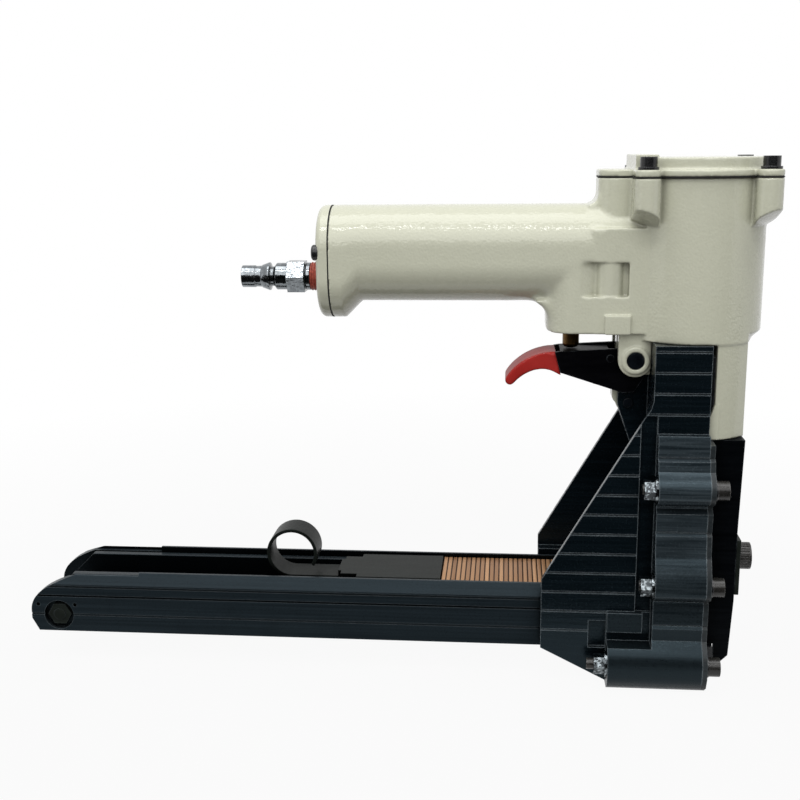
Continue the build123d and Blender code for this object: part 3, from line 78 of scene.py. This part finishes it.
class Shader:
    """A material under construction: makes nodes, links them, and holds its Principled shader."""

    def __init__(self, name):
        self.material = bpy.data.materials.new(name)
        self.material.use_nodes = True
        self.tree = self.material.node_tree
        self.tree.nodes.clear()
        self.out = self.tree.nodes.new("ShaderNodeOutputMaterial")
        self.bsdf = self.tree.nodes.new("ShaderNodeBsdfPrincipled")
        self.link(self.bsdf.outputs["BSDF"], self.out.inputs["Surface"])
        self.coords = self.node("TexCoord").outputs["Object"]

    def node(self, kind, **settings):
        made = self.tree.nodes.new("ShaderNode" + kind)
        for key, value in settings.items():
            setattr(made, key, value)
        return made

    def link(self, source, target):
        self.tree.links.new(source, target)

    def put(self, target, value):
        """Sets a socket to a number or colour, or links it to another socket."""
        if isinstance(value, bpy.types.NodeSocket):
            self.link(value, target)
        elif hasattr(value, "__len__") and len(value) == 3 and target.type == "RGBA":
            target.default_value = (*value, 1.0)
        else:
            target.default_value = value

    def axis(self, name):
        """The point's X, Y or Z in metres."""
        split = self.node("SeparateXYZ")
        self.link(self.coords, split.inputs["Vector"])
        return split.outputs[name]

    def stretched(self, scale):
        """The point's coordinates, scaled along each axis, for grain with a direction."""
        mapping = self.node("Mapping")
        self.link(self.coords, mapping.inputs["Vector"])
        mapping.inputs["Scale"].default_value = scale
        return mapping.outputs["Vector"]

    def noise(self, scale, detail=2.0, rough=0.5, vector=None):
        made = self.node("TexNoise")
        self.link(vector or self.coords, made.inputs["Vector"])
        made.inputs["Scale"].default_value = scale
        made.inputs["Detail"].default_value = detail
        made.inputs["Roughness"].default_value = rough
        return made.outputs["Fac"]

    def cells(self, scale):
        made = self.node("TexVoronoi", feature="SMOOTH_F1")
        self.link(self.coords, made.inputs["Vector"])
        made.inputs["Scale"].default_value = scale
        made.inputs["Smoothness"].default_value = 0.7
        return made.outputs["Distance"]

    def remap(self, value, low, high, to_low=0.0, to_high=1.0):
        made = self.node("MapRange", clamp=True)
        ends = {"From Min": low, "From Max": high, "To Min": to_low, "To Max": to_high}
        for name, number in ends.items():
            made.inputs[name].default_value = number
        self.put(made.inputs["Value"], value)
        return made.outputs["Result"]

    def math(self, kind, a, b=0.0):
        made = self.node("Math", operation=kind)
        self.put(made.inputs[0], a)
        self.put(made.inputs[1], b)
        return made.outputs["Value"]

    def mix(self, factor, a, b):
        made = self.node("Mix", data_type="RGBA")
        self.put(made.inputs["Factor"], factor)
        self.put(made.inputs["A"], a)
        self.put(made.inputs["B"], b)
        return made.outputs["Result"]

    def edges(self, radius):
        """About 1 on edges and 0 on flat faces."""
        bevel = self.node("Bevel", samples=4)
        bevel.inputs["Radius"].default_value = radius
        normal = self.node("NewGeometry").outputs["Normal"]
        dot = self.node("VectorMath", operation="DOT_PRODUCT")
        self.link(bevel.outputs["Normal"], dot.inputs[0])
        self.link(normal, dot.inputs[1])
        return self.remap(dot.outputs["Value"], 0.99, 0.80)

    def hollows(self, distance):
        """About 1 in the open and lower in corners."""
        made = self.node("AmbientOcclusion", samples=6)
        made.inputs["Distance"].default_value = distance
        return made.outputs["AO"]

    def facing_up(self, low, high):
        """0 where the normal's Z is below low, and 1 where it is above high."""
        split = self.node("SeparateXYZ")
        self.link(self.node("NewGeometry").outputs["Normal"], split.inputs["Vector"])
        return self.remap(split.outputs["Z"], low, high)

    def bump(self, *layers):
        """Adds bump layers, each a height with its depth in metres."""
        normal = None
        for height, depth in layers:
            made = self.node("Bump")
            made.inputs["Strength"].default_value = 1.0
            made.inputs["Distance"].default_value = depth
            self.link(height, made.inputs["Height"])
            if normal is not None:
                self.link(normal, made.inputs["Normal"])
            normal = made.outputs["Normal"]
        self.link(normal, self.bsdf.inputs["Normal"])
        self.link(normal, self.bsdf.inputs["Coat Normal"])

    def level(self, name, value):
        """Sets an input of the Principled shader to a number that is the same all over."""
        self.bsdf.inputs[name].default_value = value

    def cover(self, colour, roughness):
        """Gives the Principled shader its colour and roughness."""
        self.put(self.bsdf.inputs["Base Color"], colour)
        self.put(self.bsdf.inputs["Roughness"], roughness)


def cream_paint():
    """Cast aluminium under thick glossy cream paint with a fine hammered grain."""
    s = Shader("cream_paint")
    grain = s.cells(880.0)
    ripple = s.noise(230.0, 2.0)
    patch = s.noise(18.0, 3.0)
    colour = s.mix(s.remap(patch, 0.3, 0.7), (0.55, 0.555, 0.44), (0.57, 0.575, 0.46))
    colour = s.mix(s.remap(grain, 0.0, 0.5, 0.08, 0.0), colour, (0.42, 0.42, 0.33))
    # Painted shade: darker where the surface faces down
    colour = s.mix(s.remap(s.facing_up(-0.75, -0.1), 0.0, 1.0, 0.45, 0.0), colour, (0.26, 0.255, 0.195))
    # Painted shade in corners and hollows
    painted_corner_shade = s.remap(s.hollows(0.005), 0.2, 0.8, 0.65, 0.0)
    colour = s.mix(painted_corner_shade, colour, (0.2, 0.195, 0.15))
    # Paler edges: partly rubbed paint, partly a painted highlight
    edge_wear_and_highlight = s.math("MULTIPLY", s.edges(0.0012), s.remap(s.noise(160.0, 3.0), 0.5, 0.7, 0.0, 0.5))
    colour = s.mix(edge_wear_and_highlight, colour, (0.68, 0.68, 0.58))
    s.cover(colour, s.remap(ripple, 0.3, 0.7, 0.22, 0.34))
    s.level("Specular IOR Level", 0.2)
    s.level("Coat Weight", 0.55)
    s.level("Coat Roughness", 0.05)
    s.bump((grain, 0.00007), (ripple, 0.00009))
    return s.material


def black_metal(name, tone, rough, streak, grain, sheen, wear_and_highlight_to=(0.10, 0.115, 0.125), wear_and_highlight_range=(0.1, 0.85),
                pads=0.0, tint=(1.0, 1.0, 1.0), slits=0.0, deep=0.012, lift=0.5, inside=False):
    """Black coated metal: drawn streaks, fine grain, and edges paler from wear and a painted highlight.

    streak is the streaks' scale along each axis, and wear_and_highlight_range the least and most that an
    edge is paled. Faces further than pads from the middle plane are finished by milling, partly painted
    lighter as if lit, and given painted shade towards the sole. slits and deep are the reaches in metres
    of painted shade, near black, in narrow grooves and in corners. lift paints light onto what faces up,
    and inside paints shade onto what faces the middle plane."""
    s = Shader(name)
    lines = s.noise(1.0, 4.0, 0.65, s.stretched(streak))
    speck = s.noise(grain, 2.0)
    patch = s.noise(30.0, 3.0)
    light = [c * 1.9 + 0.002 for c in tone]
    black = [c * 0.05 for c in tone]
    gloss = s.remap(speck, 0.3, 0.7, rough - 0.06, rough + 0.08)
    colour = s.mix(s.remap(lines, 0.35, 0.75), tone, light)
    if pads:
        step = 0.4 * MM
        height = s.axis("Z")
        out = s.remap(s.math("ABSOLUTE", s.axis("Y")), pads - step, pads + step)
        # Faces finished by milling, partly painted lighter as if lit, and given painted shade towards the
        # sole
        milled_and_painted_light = s.mix(s.remap(lines, 0.3, 0.75), (0.005, 0.009, 0.012), (0.046, 0.06, 0.069))
        milled_and_painted_light = s.mix(s.remap(height, 0.025, 0.07, 0.95, 0.0), milled_and_painted_light, (0.004, 0.0065, 0.008))
        colour = s.mix(out, colour, milled_and_painted_light)
        gloss = s.math("ADD", gloss, s.math("MULTIPLY", out, s.remap(height, 0.02, 0.07, 0.1, 0.0)))
    colour = s.mix(s.remap(patch, 0.55, 0.8, 0.0, 0.45), colour, [c * 0.5 for c in tone])
    # Painted shade in corners
    colour = s.mix(s.remap(s.hollows(deep), 0.25, 0.85, 0.85, 0.0), colour, [c * 0.15 for c in tone])
    # Painted light: lighter where the surface faces up
    painted_up_light = s.remap(s.facing_up(0.1, 0.8), 0.0, 1.0, 0.0, lift)
    colour = s.mix(painted_up_light, colour, [c * 1.6 + 0.012 for c in tone])
    # Paler edges: partly rubbed wear, partly a painted highlight
    edge_wear_and_highlight = s.math("MULTIPLY", s.edges(0.0006), s.remap(s.noise(210.0, 4.0, 0.6), 0.42, 0.68, *wear_and_highlight_range))
    colour = s.mix(edge_wear_and_highlight, colour, wear_and_highlight_to)
    if inside:
        # Painted shade on faces that look towards the middle plane
        inward = s.node("VectorMath", operation="MULTIPLY")
        s.link(s.coords, inward.inputs[0])
        s.link(s.node("NewGeometry").outputs["Normal"], inward.inputs[1])
        sides = s.node("SeparateXYZ")
        s.link(inward.outputs["Vector"], sides.inputs["Vector"])
        colour = s.mix(s.remap(sides.outputs["Y"], -0.004, -0.012, 0.0, 0.92), colour, black)
    if slits:
        # Painted shade in narrow grooves
        colour = s.mix(s.remap(s.hollows(slits), 0.45, 0.85, 1.0, 0.0), colour, black)
    s.cover(colour, gloss)
    s.level("Specular IOR Level", sheen)
    s.bsdf.inputs["Specular Tint"].default_value = (*tint, 1.0)
    s.bump((lines, 0.00006), (speck, 0.000025))
    return s.material


def plated(name, tone, rough, streak, dark, deep=0.0025, dents=0.00005, painted_reflection=0.0):
    """Bright plated metal with turning marks and dull patches, painted reflection as dark blotches,
    and painted shade in corners.
    """
    s = Shader(name)
    lines = s.noise(1.0, 4.0, 0.6, s.stretched(streak))
    patch = s.noise(140.0, 3.0)
    colour = s.mix(s.remap(lines, 0.3, 0.7), [c * 0.7 for c in tone], tone)
    if painted_reflection:
        # Painted reflection: dark blotches as if reflecting dark surroundings
        colour = s.mix(s.remap(s.noise(520.0, 2.0), 0.44, 0.6, painted_reflection, 0.0), colour, dark)
    # Painted shade in corners
    colour = s.mix(s.remap(s.hollows(deep), 0.3, 0.95, 0.9, 0.0), colour, dark)
    s.cover(colour, s.remap(patch, 0.3, 0.75, rough, rough + 0.16))
    s.level("Metallic", 1.0)
    s.bump((lines, 0.00005), (s.noise(420.0, 2.0), dents))
    return s.material


def red_grip():
    """Glossy red plastic, with painted shade where it faces down and in corners."""
    s = Shader("red_grip")
    patch = s.noise(60.0, 3.0)
    colour = s.mix(s.remap(patch, 0.35, 0.7), (0.39, 0.026, 0.022), (0.47, 0.04, 0.034))
    # Painted shade: darker where the grip faces down
    colour = s.mix(s.remap(s.facing_up(-0.6, 0.4), 0.0, 1.0, 0.55, 0.0), colour, (0.17, 0.006, 0.006))
    # Painted shade in corners
    colour = s.mix(s.remap(s.hollows(0.003), 0.3, 0.8, 0.5, 0.0), colour, (0.10, 0.004, 0.004))
    s.cover(colour, s.remap(s.noise(300.0, 2.0), 0.3, 0.7, 0.05, 0.1))
    s.level("Specular IOR Level", 0.0)
    s.level("Coat Weight", 0.3)
    s.level("Coat Roughness", 0.06)
    s.bump((s.noise(130.0, 2.0), 0.00025))
    return s.material


def red_sealant():
    """Dried, crusted thread sealant."""
    s = Shader("red_sealant")
    crust = s.noise(900.0, 4.0, 0.65)
    colour = s.mix(s.remap(crust, 0.35, 0.7), (0.20, 0.022, 0.012), (0.42, 0.075, 0.04))
    s.cover(colour, s.remap(crust, 0.3, 0.7, 0.35, 0.6))
    s.bump((crust, 0.00025))
    return s.material


def rubber():
    """Matt black gasket rubber."""
    s = Shader("gasket_rubber")
    grain = s.noise(1200.0, 3.0)
    colour = s.mix(s.remap(grain, 0.3, 0.7), (0.012, 0.012, 0.012), (0.03, 0.03, 0.029))
    s.cover(colour, s.remap(grain, 0.3, 0.7, 0.6, 0.8))
    s.level("Specular IOR Level", 0.2)
    s.bump((grain, 0.00008))
    return s.material


def copper_wire():
    """Coppered staple wire: every wire its own shade, drawn lines along it, dark glue in the joints,
    and painted shade in the grooves between the wires.
    """
    s = Shader("copper_wire")
    from_joint = s.math("PINGPONG", s.math("SUBTRACT", s.axis("X"), strip_low.x), wire_pitch / 2)
    island = s.node("NewGeometry").outputs["Random Per Island"]
    lines = s.noise(1.0, 4.0, 0.6, s.stretched((2200.0, 60.0, 60.0)))
    colour = s.mix(island, (0.27, 0.128, 0.054), (0.6, 0.335, 0.165))
    colour = s.mix(s.remap(lines, 0.35, 0.75, 0.0, 0.5), colour, (0.52, 0.31, 0.18))
    # Painted shade in the grooves between the wires
    colour = s.mix(s.remap(s.hollows(0.0009), 0.5, 1.0, 1.0, 0.0), colour, (0.012, 0.006, 0.004))
    glue = s.remap(from_joint, 0.06 * wire_pitch, 0.2 * wire_pitch, 0.95, 0.0)
    colour = s.mix(glue, colour, (0.03, 0.014, 0.008))
    s.cover(colour, s.remap(lines, 0.3, 0.7, 0.34, 0.5))
    s.level("Metallic", 0.45)
    s.level("Specular IOR Level", 0.1)
    s.bump((lines, 0.00004))
    return s.material


wire_count = 49
strip_low, strip_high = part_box("staple_strip")
wire_pitch = (strip_high.x - strip_low.x) / wire_count

along_x = (9.0, 900.0, 900.0)
around = (260.0, 260.0, 260.0)
pressed = (40.0, 160.0, 160.0)
bluish = (0.62, 0.86, 1.0)

cream = cream_paint()
anodised = black_metal(
    "black_anodised", (0.0062, 0.0096, 0.0122), rough=0.3, streak=along_x, grain=1500.0, sheen=0.1,
    wear_and_highlight_range=(0.7, 1.0), tint=bluish, slits=0.002, deep=0.03, inside=True)
frame_black = black_metal(
    "black_frame", (0.0014, 0.0034, 0.005), rough=0.22, streak=(26.0, 60.0, 800.0), grain=900.0,
    sheen=0.26, wear_and_highlight_to=(0.22, 0.255, 0.275), wear_and_highlight_range=(0.7, 1.0), pads=0.0316, tint=bluish, lift=0.1)
plate_black = black_metal(
    "black_plate", (0.016, 0.02, 0.022), rough=0.35, streak=(60.0, 60.0, 300.0), grain=900.0, sheen=0.2,
    wear_and_highlight_to=(0.25, 0.27, 0.28))
bolt_black = black_metal(
    "black_bolt", (0.011, 0.0105, 0.0095), rough=0.26, streak=around, grain=1800.0, sheen=0.4,
    wear_and_highlight_to=(0.22, 0.21, 0.2))
cover_black = black_metal(
    "black_cover", (0.0008, 0.0013, 0.002), rough=0.36, streak=(26.0, 60.0, 420.0), grain=900.0,
    sheen=0.03)
pusher_black = black_metal(
    "black_pusher", (0.0055, 0.0072, 0.0062), rough=0.34, streak=pressed, grain=1300.0, sheen=0.05,
    wear_and_highlight_to=(0.05, 0.055, 0.052), wear_and_highlight_range=(0.1, 0.6), slits=0.012, lift=0.35)
coated = black_metal(
    "black_steel", (0.009, 0.0115, 0.0095), rough=0.36, streak=pressed, grain=1300.0, sheen=0.05)
dark_lever = black_metal(
    "black_lever", (0.0006, 0.0006, 0.0012), rough=0.36, streak=pressed, grain=1300.0, sheen=0.04)
dark_pin = black_metal(
    "black_pin", (0.002, 0.003, 0.0046), rough=0.2, streak=around, grain=1800.0, sheen=0.1,
    wear_and_highlight_to=(0.09, 0.10, 0.11))
oxide = black_metal(
    "black_oxide", (0.006, 0.0064, 0.007), rough=0.25, streak=around, grain=1800.0, sheen=0.45,
    wear_and_highlight_to=(0.2, 0.2, 0.21))
zinc = plated(
    "zinc_plate", (0.33, 0.37, 0.39), rough=0.08, streak=around, dark=(0.012, 0.014, 0.016), deep=0.003,
    dents=0.0004, painted_reflection=0.85)
chrome = plated(
    "chrome_plate", (0.3, 0.325, 0.342), rough=0.06, streak=(1500.0, 40.0, 40.0),
    dark=(0.02, 0.022, 0.025), deep=0.003, dents=0.00016, painted_reflection=0.3)
steel = plated(
    "bare_steel", (0.42, 0.42, 0.43), rough=0.3, streak=(60.0, 600.0, 600.0), dark=(0.02, 0.02, 0.02))
aluminium = plated(
    "bare_aluminium", (0.66, 0.66, 0.68), rough=0.3, streak=(60.0, 60.0, 900.0), dark=(0.05, 0.05, 0.05))
brass = plated(
    "brass", (0.13, 0.075, 0.028), rough=0.28, streak=(60.0, 60.0, 1400.0), dark=(0.02, 0.012, 0.005))

# Each slot of the record has a finish, and some nodes have one of their own
finishes = {
    "cream_paint": cream, "black_anodised": anodised, "black_steel": coated, "black_oxide": oxide,
    "zinc": zinc, "chrome_plate": chrome, "red_plastic": red_grip(), "red_sealant": red_sealant(),
    "gasket_black": rubber(), "brass": brass, "bare_steel": steel, "bare_aluminium": aluminium,
    "copper_wire": copper_wire(),
}
node_slot = {row["node"]: row["material_slot"] for row in frame["record"]["subparts"]}
special = {
    "side_frame": frame_black, "rear_plate": frame_black, "rear_bracket": frame_black,
    "front_plate": plate_black, "pusher_plate": pusher_black, "front_cover": cover_black,
    "magazine_tie": coated, "trigger_lever": dark_lever, "trigger_pin": dark_pin, "bracket_pin": dark_pin,
    "clincher_left": dark_pin, "clincher_right": dark_pin, "frame_bolts": bolt_black,
    "adjuster_knob": bolt_black,
}


# CAD nodes: softened edges and a finish each

def put_material(piece, material):
    piece.data.materials.clear()
    piece.data.materials.append(material)


def dress(name, width):
    """Gives a CAD node its finish and rounds its edges, by width in mm, with modifiers."""
    piece = nodes[name]
    mesh = piece.data
    if "custom_normal" in mesh.attributes:
        mesh.attributes.remove(mesh.attributes["custom_normal"])
    mesh.polygons.foreach_set("use_smooth", [True] * len(mesh.polygons))
    put_material(piece, special.get(name, finishes[node_slot[name]]))
    weld = piece.modifiers.new("weld", "WELD")
    weld.merge_threshold = WELD_REACH
    flat = piece.modifiers.new("flat", "DECIMATE")
    flat.decimate_type = "DISSOLVE"
    flat.angle_limit = math.radians(0.6)
    bevel = piece.modifiers.new("edges", "BEVEL")
    bevel.width = width * MM
    bevel.segments = 2
    bevel.limit_method = "ANGLE"
    bevel.angle_limit = math.radians(35.0)
    bevel.miter_outer = "MITER_ARC"
    shade = piece.modifiers.new("shading", "WEIGHTED_NORMAL")
    shade.keep_sharp = True


default_edge = 0.12
edge_width = {  # mm
    "side_frame": 0.35, "front_cover": 0.8, "front_plate": 0.25, "rear_bracket": 0.5,
    "handle_end_cap": 0.5, "magazine_rail_left": 0.2, "magazine_rail_right": 0.2, "pusher_plate": 0.3,
    "trigger_lever": 0.2, "air_plug": 0.2, "cap_screws": 0.3, "frame_bolts": 0.3, "frame_nuts": 0.3,
    "adjuster_knob": 0.2, "adjuster_plate": 0.3, "staple_core": 0.3, "trigger_pin": 0.3,
    "bracket_pin": 0.3, "end_cap_screws": 0.2,
}
for name in nodes:
    dress(name, edge_width.get(name, default_edge))


# Pieces that stand for a CAD node

def new_piece(name, mesh, material, body, slot, *replaced):
    """Adds a piece that rides on a body and stands for CAD nodes."""
    piece = bpy.data.objects.new(name, mesh)
    scene.collection.objects.link(piece)
    put_material(piece, material)
    mesh.polygons.foreach_set("use_smooth", [True] * len(mesh.polygons))
    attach(piece, body)
    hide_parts(*replaced)


def evaluated_mesh(piece):
    """A mesh of the piece with its modifiers applied."""
    bpy.context.view_layer.update()
    graph = bpy.context.evaluated_depsgraph_get()
    return bpy.data.meshes.new_from_object(piece.evaluated_get(graph))


def cast_mesh(name, voxel, rounds, keep, blends=()):
    """The node's solid as a casting: remeshed at voxel mm, corners rounded by smoothing, then thinned to
    the share keep. The blends are places (X, Z, reach in mm, rounds) that are smoothed further, as a
    pattern maker fills corners."""
    source = bpy.data.objects.new(name + "_cast", nodes[name].data.copy())
    scene.collection.objects.link(source)
    weld = source.modifiers.new("weld", "WELD")
    weld.merge_threshold = WELD_REACH
    remesh = source.modifiers.new("remesh", "REMESH")
    remesh.mode = "VOXEL"
    remesh.voxel_size = voxel * MM
    mesh = evaluated_mesh(source)
    source.modifiers.clear()
    source.data = mesh
    places = np.empty(3 * len(mesh.vertices))
    mesh.vertices.foreach_get("co", places)
    places = places.reshape(-1, 3) / MM
    everywhere = (0.0, 0.0, 1e6, rounds)
    steps = 10
    for i, (x, z, reach, more) in enumerate((everywhere, *blends)):
        far = np.hypot(places[:, 0] - x, places[:, 2] - z)
        weights = np.clip((reach - far) / (0.5 * reach), 0.0, 1.0)
        group = source.vertex_groups.new(name=f"blend_{i}")
        for step in range(1, steps + 1):
            chosen = np.nonzero(np.round(weights * steps) == step)[0]
            group.add(chosen.tolist(), step / steps, "REPLACE")
        smooth = source.modifiers.new(group.name, "SMOOTH")
        smooth.factor = 0.5
        smooth.iterations = more
        smooth.vertex_group = group.name
    thin = source.modifiers.new("thin", "DECIMATE")
    thin.ratio = keep
    mesh = evaluated_mesh(source)
    bpy.data.objects.remove(source)
    mesh.name = name + "_casting"
    return mesh


# Places along the cove between handle and tower
housing_blends = [
    (-47.0, 214.0, 12.0, 40), (-69.0, 171.0, 14.0, 200), (-54.0, 190.0, 11.0, 60),
    (-60.0, 180.0, 10.0, 60), (-46.0, 204.0, 6.0, 30),
]
housing_mesh = cast_mesh("main_housing", voxel=0.5, rounds=2, keep=0.2, blends=housing_blends)
new_piece("housing_casting", housing_mesh, cream, "stapler", "cream_paint", "main_housing")
cap_mesh = cast_mesh("cylinder_cap", voxel=0.5, rounds=6, keep=0.3)
new_piece("cap_casting", cap_mesh, cream, "stapler", "cream_paint", "cylinder_cap")

# The grip's sleeve: rounded towards its tip, and its raked mouth drawn over the end of the lever
grip_low, grip_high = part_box("trigger_grip")
grip_blend = (grip_low.x / MM, grip_low.z / MM, 0.97 * (grip_high.x - grip_low.x) / MM, 40)
grip_mesh = cast_mesh("trigger_grip", voxel=0.4, rounds=0, keep=0.4, blends=[grip_blend])
mouth_rake = 2.5 * MM
mouth_depth = 11.0 * MM
mouth_lap = 0.45 * MM
mouth_fade = 1.6 * MM
mouth = Vector((mouth_depth, 0.0, mouth_rake)).normalized()
heel = Vector((grip_high.x - mouth_rake, 0.0, grip_high.z))
for vertex in grip_mesh.vertices:
    near = 1.0 + (vertex.co - heel).dot(mouth) / mouth_fade
    vertex.co += mouth * (mouth_lap * min(max(near, 0.0), 1.0))
new_piece("grip_sleeve", grip_mesh, finishes["red_plastic"], "trigger", "red_plastic", "trigger_grip")


def staple_wires():
    """The strip of staples as separate bent wires with rounded edges."""
    thick = 0.9 * MM
    bend = 1.1 * MM
    edge = 0.36 * MM
    gap = 0.06 * MM
    half = (strip_high.y - strip_low.y) / 2 - thick / 2
    wide = (wire_pitch - gap) / 2
    top = strip_high.z - thick / 2
    # The wire's line from foot to foot, as Y, Z and the outward normal
    path = [(-half, strip_low.z, -1.0, 0.0)]
    for degrees in range(180, 89, -15):
        c, s = math.cos(math.radians(degrees)), math.sin(math.radians(degrees))
        path.append((-half + bend + bend * c, top - bend + bend * s, c, s))
    path += [(-y, z, -ny, nz) for y, z, ny, nz in reversed(path)]
    section = []
    for side_x, side_t, start in ((1, 1, 0), (-1, 1, 90), (-1, -1, 180), (1, -1, 270)):
        for degrees in (start, start + 45, start + 90):
            c, s = math.cos(math.radians(degrees)), math.sin(math.radians(degrees))
            section.append((side_x * (wide - edge) + edge * c, side_t * (thick / 2 - edge) + edge * s))
    mesh = bmesh.new()
    for n in range(wire_count):
        centre = strip_low.x + (n + 0.5) * wire_pitch
        rings = []
        for y, z, ny, nz in path:
            rings.append([mesh.verts.new((centre + sx, y + t * ny, z + t * nz)) for sx, t in section])
        for a, b in zip(rings, rings[1:]):
            for i in range(len(section)):
                j = (i + 1) % len(section)
                mesh.faces.new((a[i], a[j], b[j], b[i]))
        mesh.faces.new(rings[0][::-1])
        mesh.faces.new(rings[-1])
    bmesh.ops.recalc_face_normals(mesh, faces=mesh.faces)
    made = bpy.data.meshes.new("staple_wires")
    mesh.to_mesh(made)
    mesh.free()
    return made


new_piece(
    "staple_wires", staple_wires(), finishes["copper_wire"], "stapler", "copper_wire", "staple_strip")


# Floor and light

floor_half = 6.0
floor_drop = 0.3 * MM
floor_corners = [(x * floor_half, y * floor_half, 0.0) for x, y in ((-1, -1), (1, -1), (1, 1), (-1, 1))]
floor_mesh = bpy.data.meshes.new("floor")
floor_mesh.from_pydata(floor_corners, [], [(0, 1, 2, 3)])
floor = bpy.data.objects.new("floor", floor_mesh)
floor.location.z = -floor_drop
scene.collection.objects.link(floor)
paper = Shader("floor")
paper_tone = paper.mix(paper.noise(3.0, 2.0), (0.26, 0.26, 0.26), (0.3, 0.3, 0.3))
paper.cover(paper_tone, 0.9)
paper.level("Specular IOR Level", 0.05)
# To the camera and in reflections it glows white, a little less so near the tool, where its shadow shows
glow = paper.node("Emission")
rays = paper.node("LightPath")
seen = paper.math("MAXIMUM", rays.outputs["Is Camera Ray"], rays.outputs["Is Glossy Ray"])
blend = paper.node("MixShader")
from_tool = paper.node("VectorMath", operation="DISTANCE")
paper.link(paper.coords, from_tool.inputs[0])
from_tool.inputs[1].default_value = (-0.12, 0.0, 0.0)
white = paper.remap(from_tool.outputs["Value"], 0.2, 0.6, 0.94, 1.0)
paper.put(blend.inputs["Fac"], paper.math("MULTIPLY", seen, white))
paper.link(paper.bsdf.outputs["BSDF"], blend.inputs[1])
paper.link(glow.outputs["Emission"], blend.inputs[2])
paper.link(blend.outputs["Shader"], paper.out.inputs["Surface"])
put_material(floor, paper.material)

world = bpy.data.worlds.new("studio")
scene.world = world
world.use_nodes = True
sky = world.node_tree.nodes
sky.clear()
sky_links = world.node_tree.links
sky_out = sky.new("ShaderNodeOutputWorld")
sky_rays = sky.new("ShaderNodeLightPath")


def larger(a, b):
    """A world node that gives the larger of two values."""
    made = sky.new("ShaderNodeMath")
    made.operation = "MAXIMUM"
    sky_links.new(a, made.inputs[0])
    sky_links.new(b, made.inputs[1])
    return made.outputs["Value"]


# White to the camera, in reflections and through glass, and dimmer as a lamp
sky_shiny = larger(sky_rays.outputs["Is Glossy Ray"], sky_rays.outputs["Is Transmission Ray"])
sky_seen = larger(sky_rays.outputs["Is Camera Ray"], sky_shiny)
sky_level = sky.new("ShaderNodeMapRange")
sky_level.inputs["To Min"].default_value = 0.32
sky_level.inputs["To Max"].default_value = 1.0
sky_links.new(sky_seen, sky_level.inputs["Value"])
sky_shader = sky.new("ShaderNodeBackground")
sky_shader.inputs["Color"].default_value = (1.0, 1.0, 1.0, 1.0)
sky_links.new(sky_level.outputs["Result"], sky_shader.inputs["Strength"])
sky_links.new(sky_shader.outputs["Background"], sky_out.inputs["Surface"])


def softbox(name, place, aim, size, power):
    """A rectangular lamp at a place, aimed at a point."""
    data = bpy.data.lights.new(name, "AREA")
    data.shape = "RECTANGLE"
    data.size, data.size_y = size
    data.energy = power
    lamp = bpy.data.objects.new(name, data)
    lamp.location = place
    lamp.rotation_euler = (Vector(aim) - Vector(place)).to_track_quat("-Z", "Y").to_euler()
    scene.collection.objects.link(lamp)


softbox("top_light", (-0.12, -0.12, 1.2), (-0.12, 0.0, 0.15), (1.4, 0.6), 8.2)
softbox("fill_light", (-0.22, -1.6, 0.95), (-0.12, 0.0, 0.14), (2.4, 1.5), 16.0)
softbox("front_light", (-0.3, -0.8, 1.3), (-0.12, 0.0, 0.15), (1.3, 0.07), 4.6)

# A dark card before the tool, on the floor and upright, seen only in reflections
card_mesh = bpy.data.meshes.new("dark_card")
card_line = ((-0.1, 0.0005), (-0.66, 0.0005), (-0.66, 0.36))
card_corners = [(x, y, z) for y, z in card_line for x in (-1.1, 0.9)]
card_mesh.from_pydata(card_corners, [], [(0, 1, 3, 2), (2, 3, 5, 4)])
card = bpy.data.objects.new("dark_card", card_mesh)
scene.collection.objects.link(card)
felt = Shader("dark_card")
felt_tone = felt.mix(felt.noise(40.0, 3.0), (0.01, 0.01, 0.01), (0.02, 0.02, 0.02))
felt.put(felt.bsdf.inputs["Base Color"], felt_tone)
felt.level("Specular IOR Level", 0.0)
put_material(card, felt.material)
card.visible_camera = False
card.visible_diffuse = False
card.visible_shadow = False
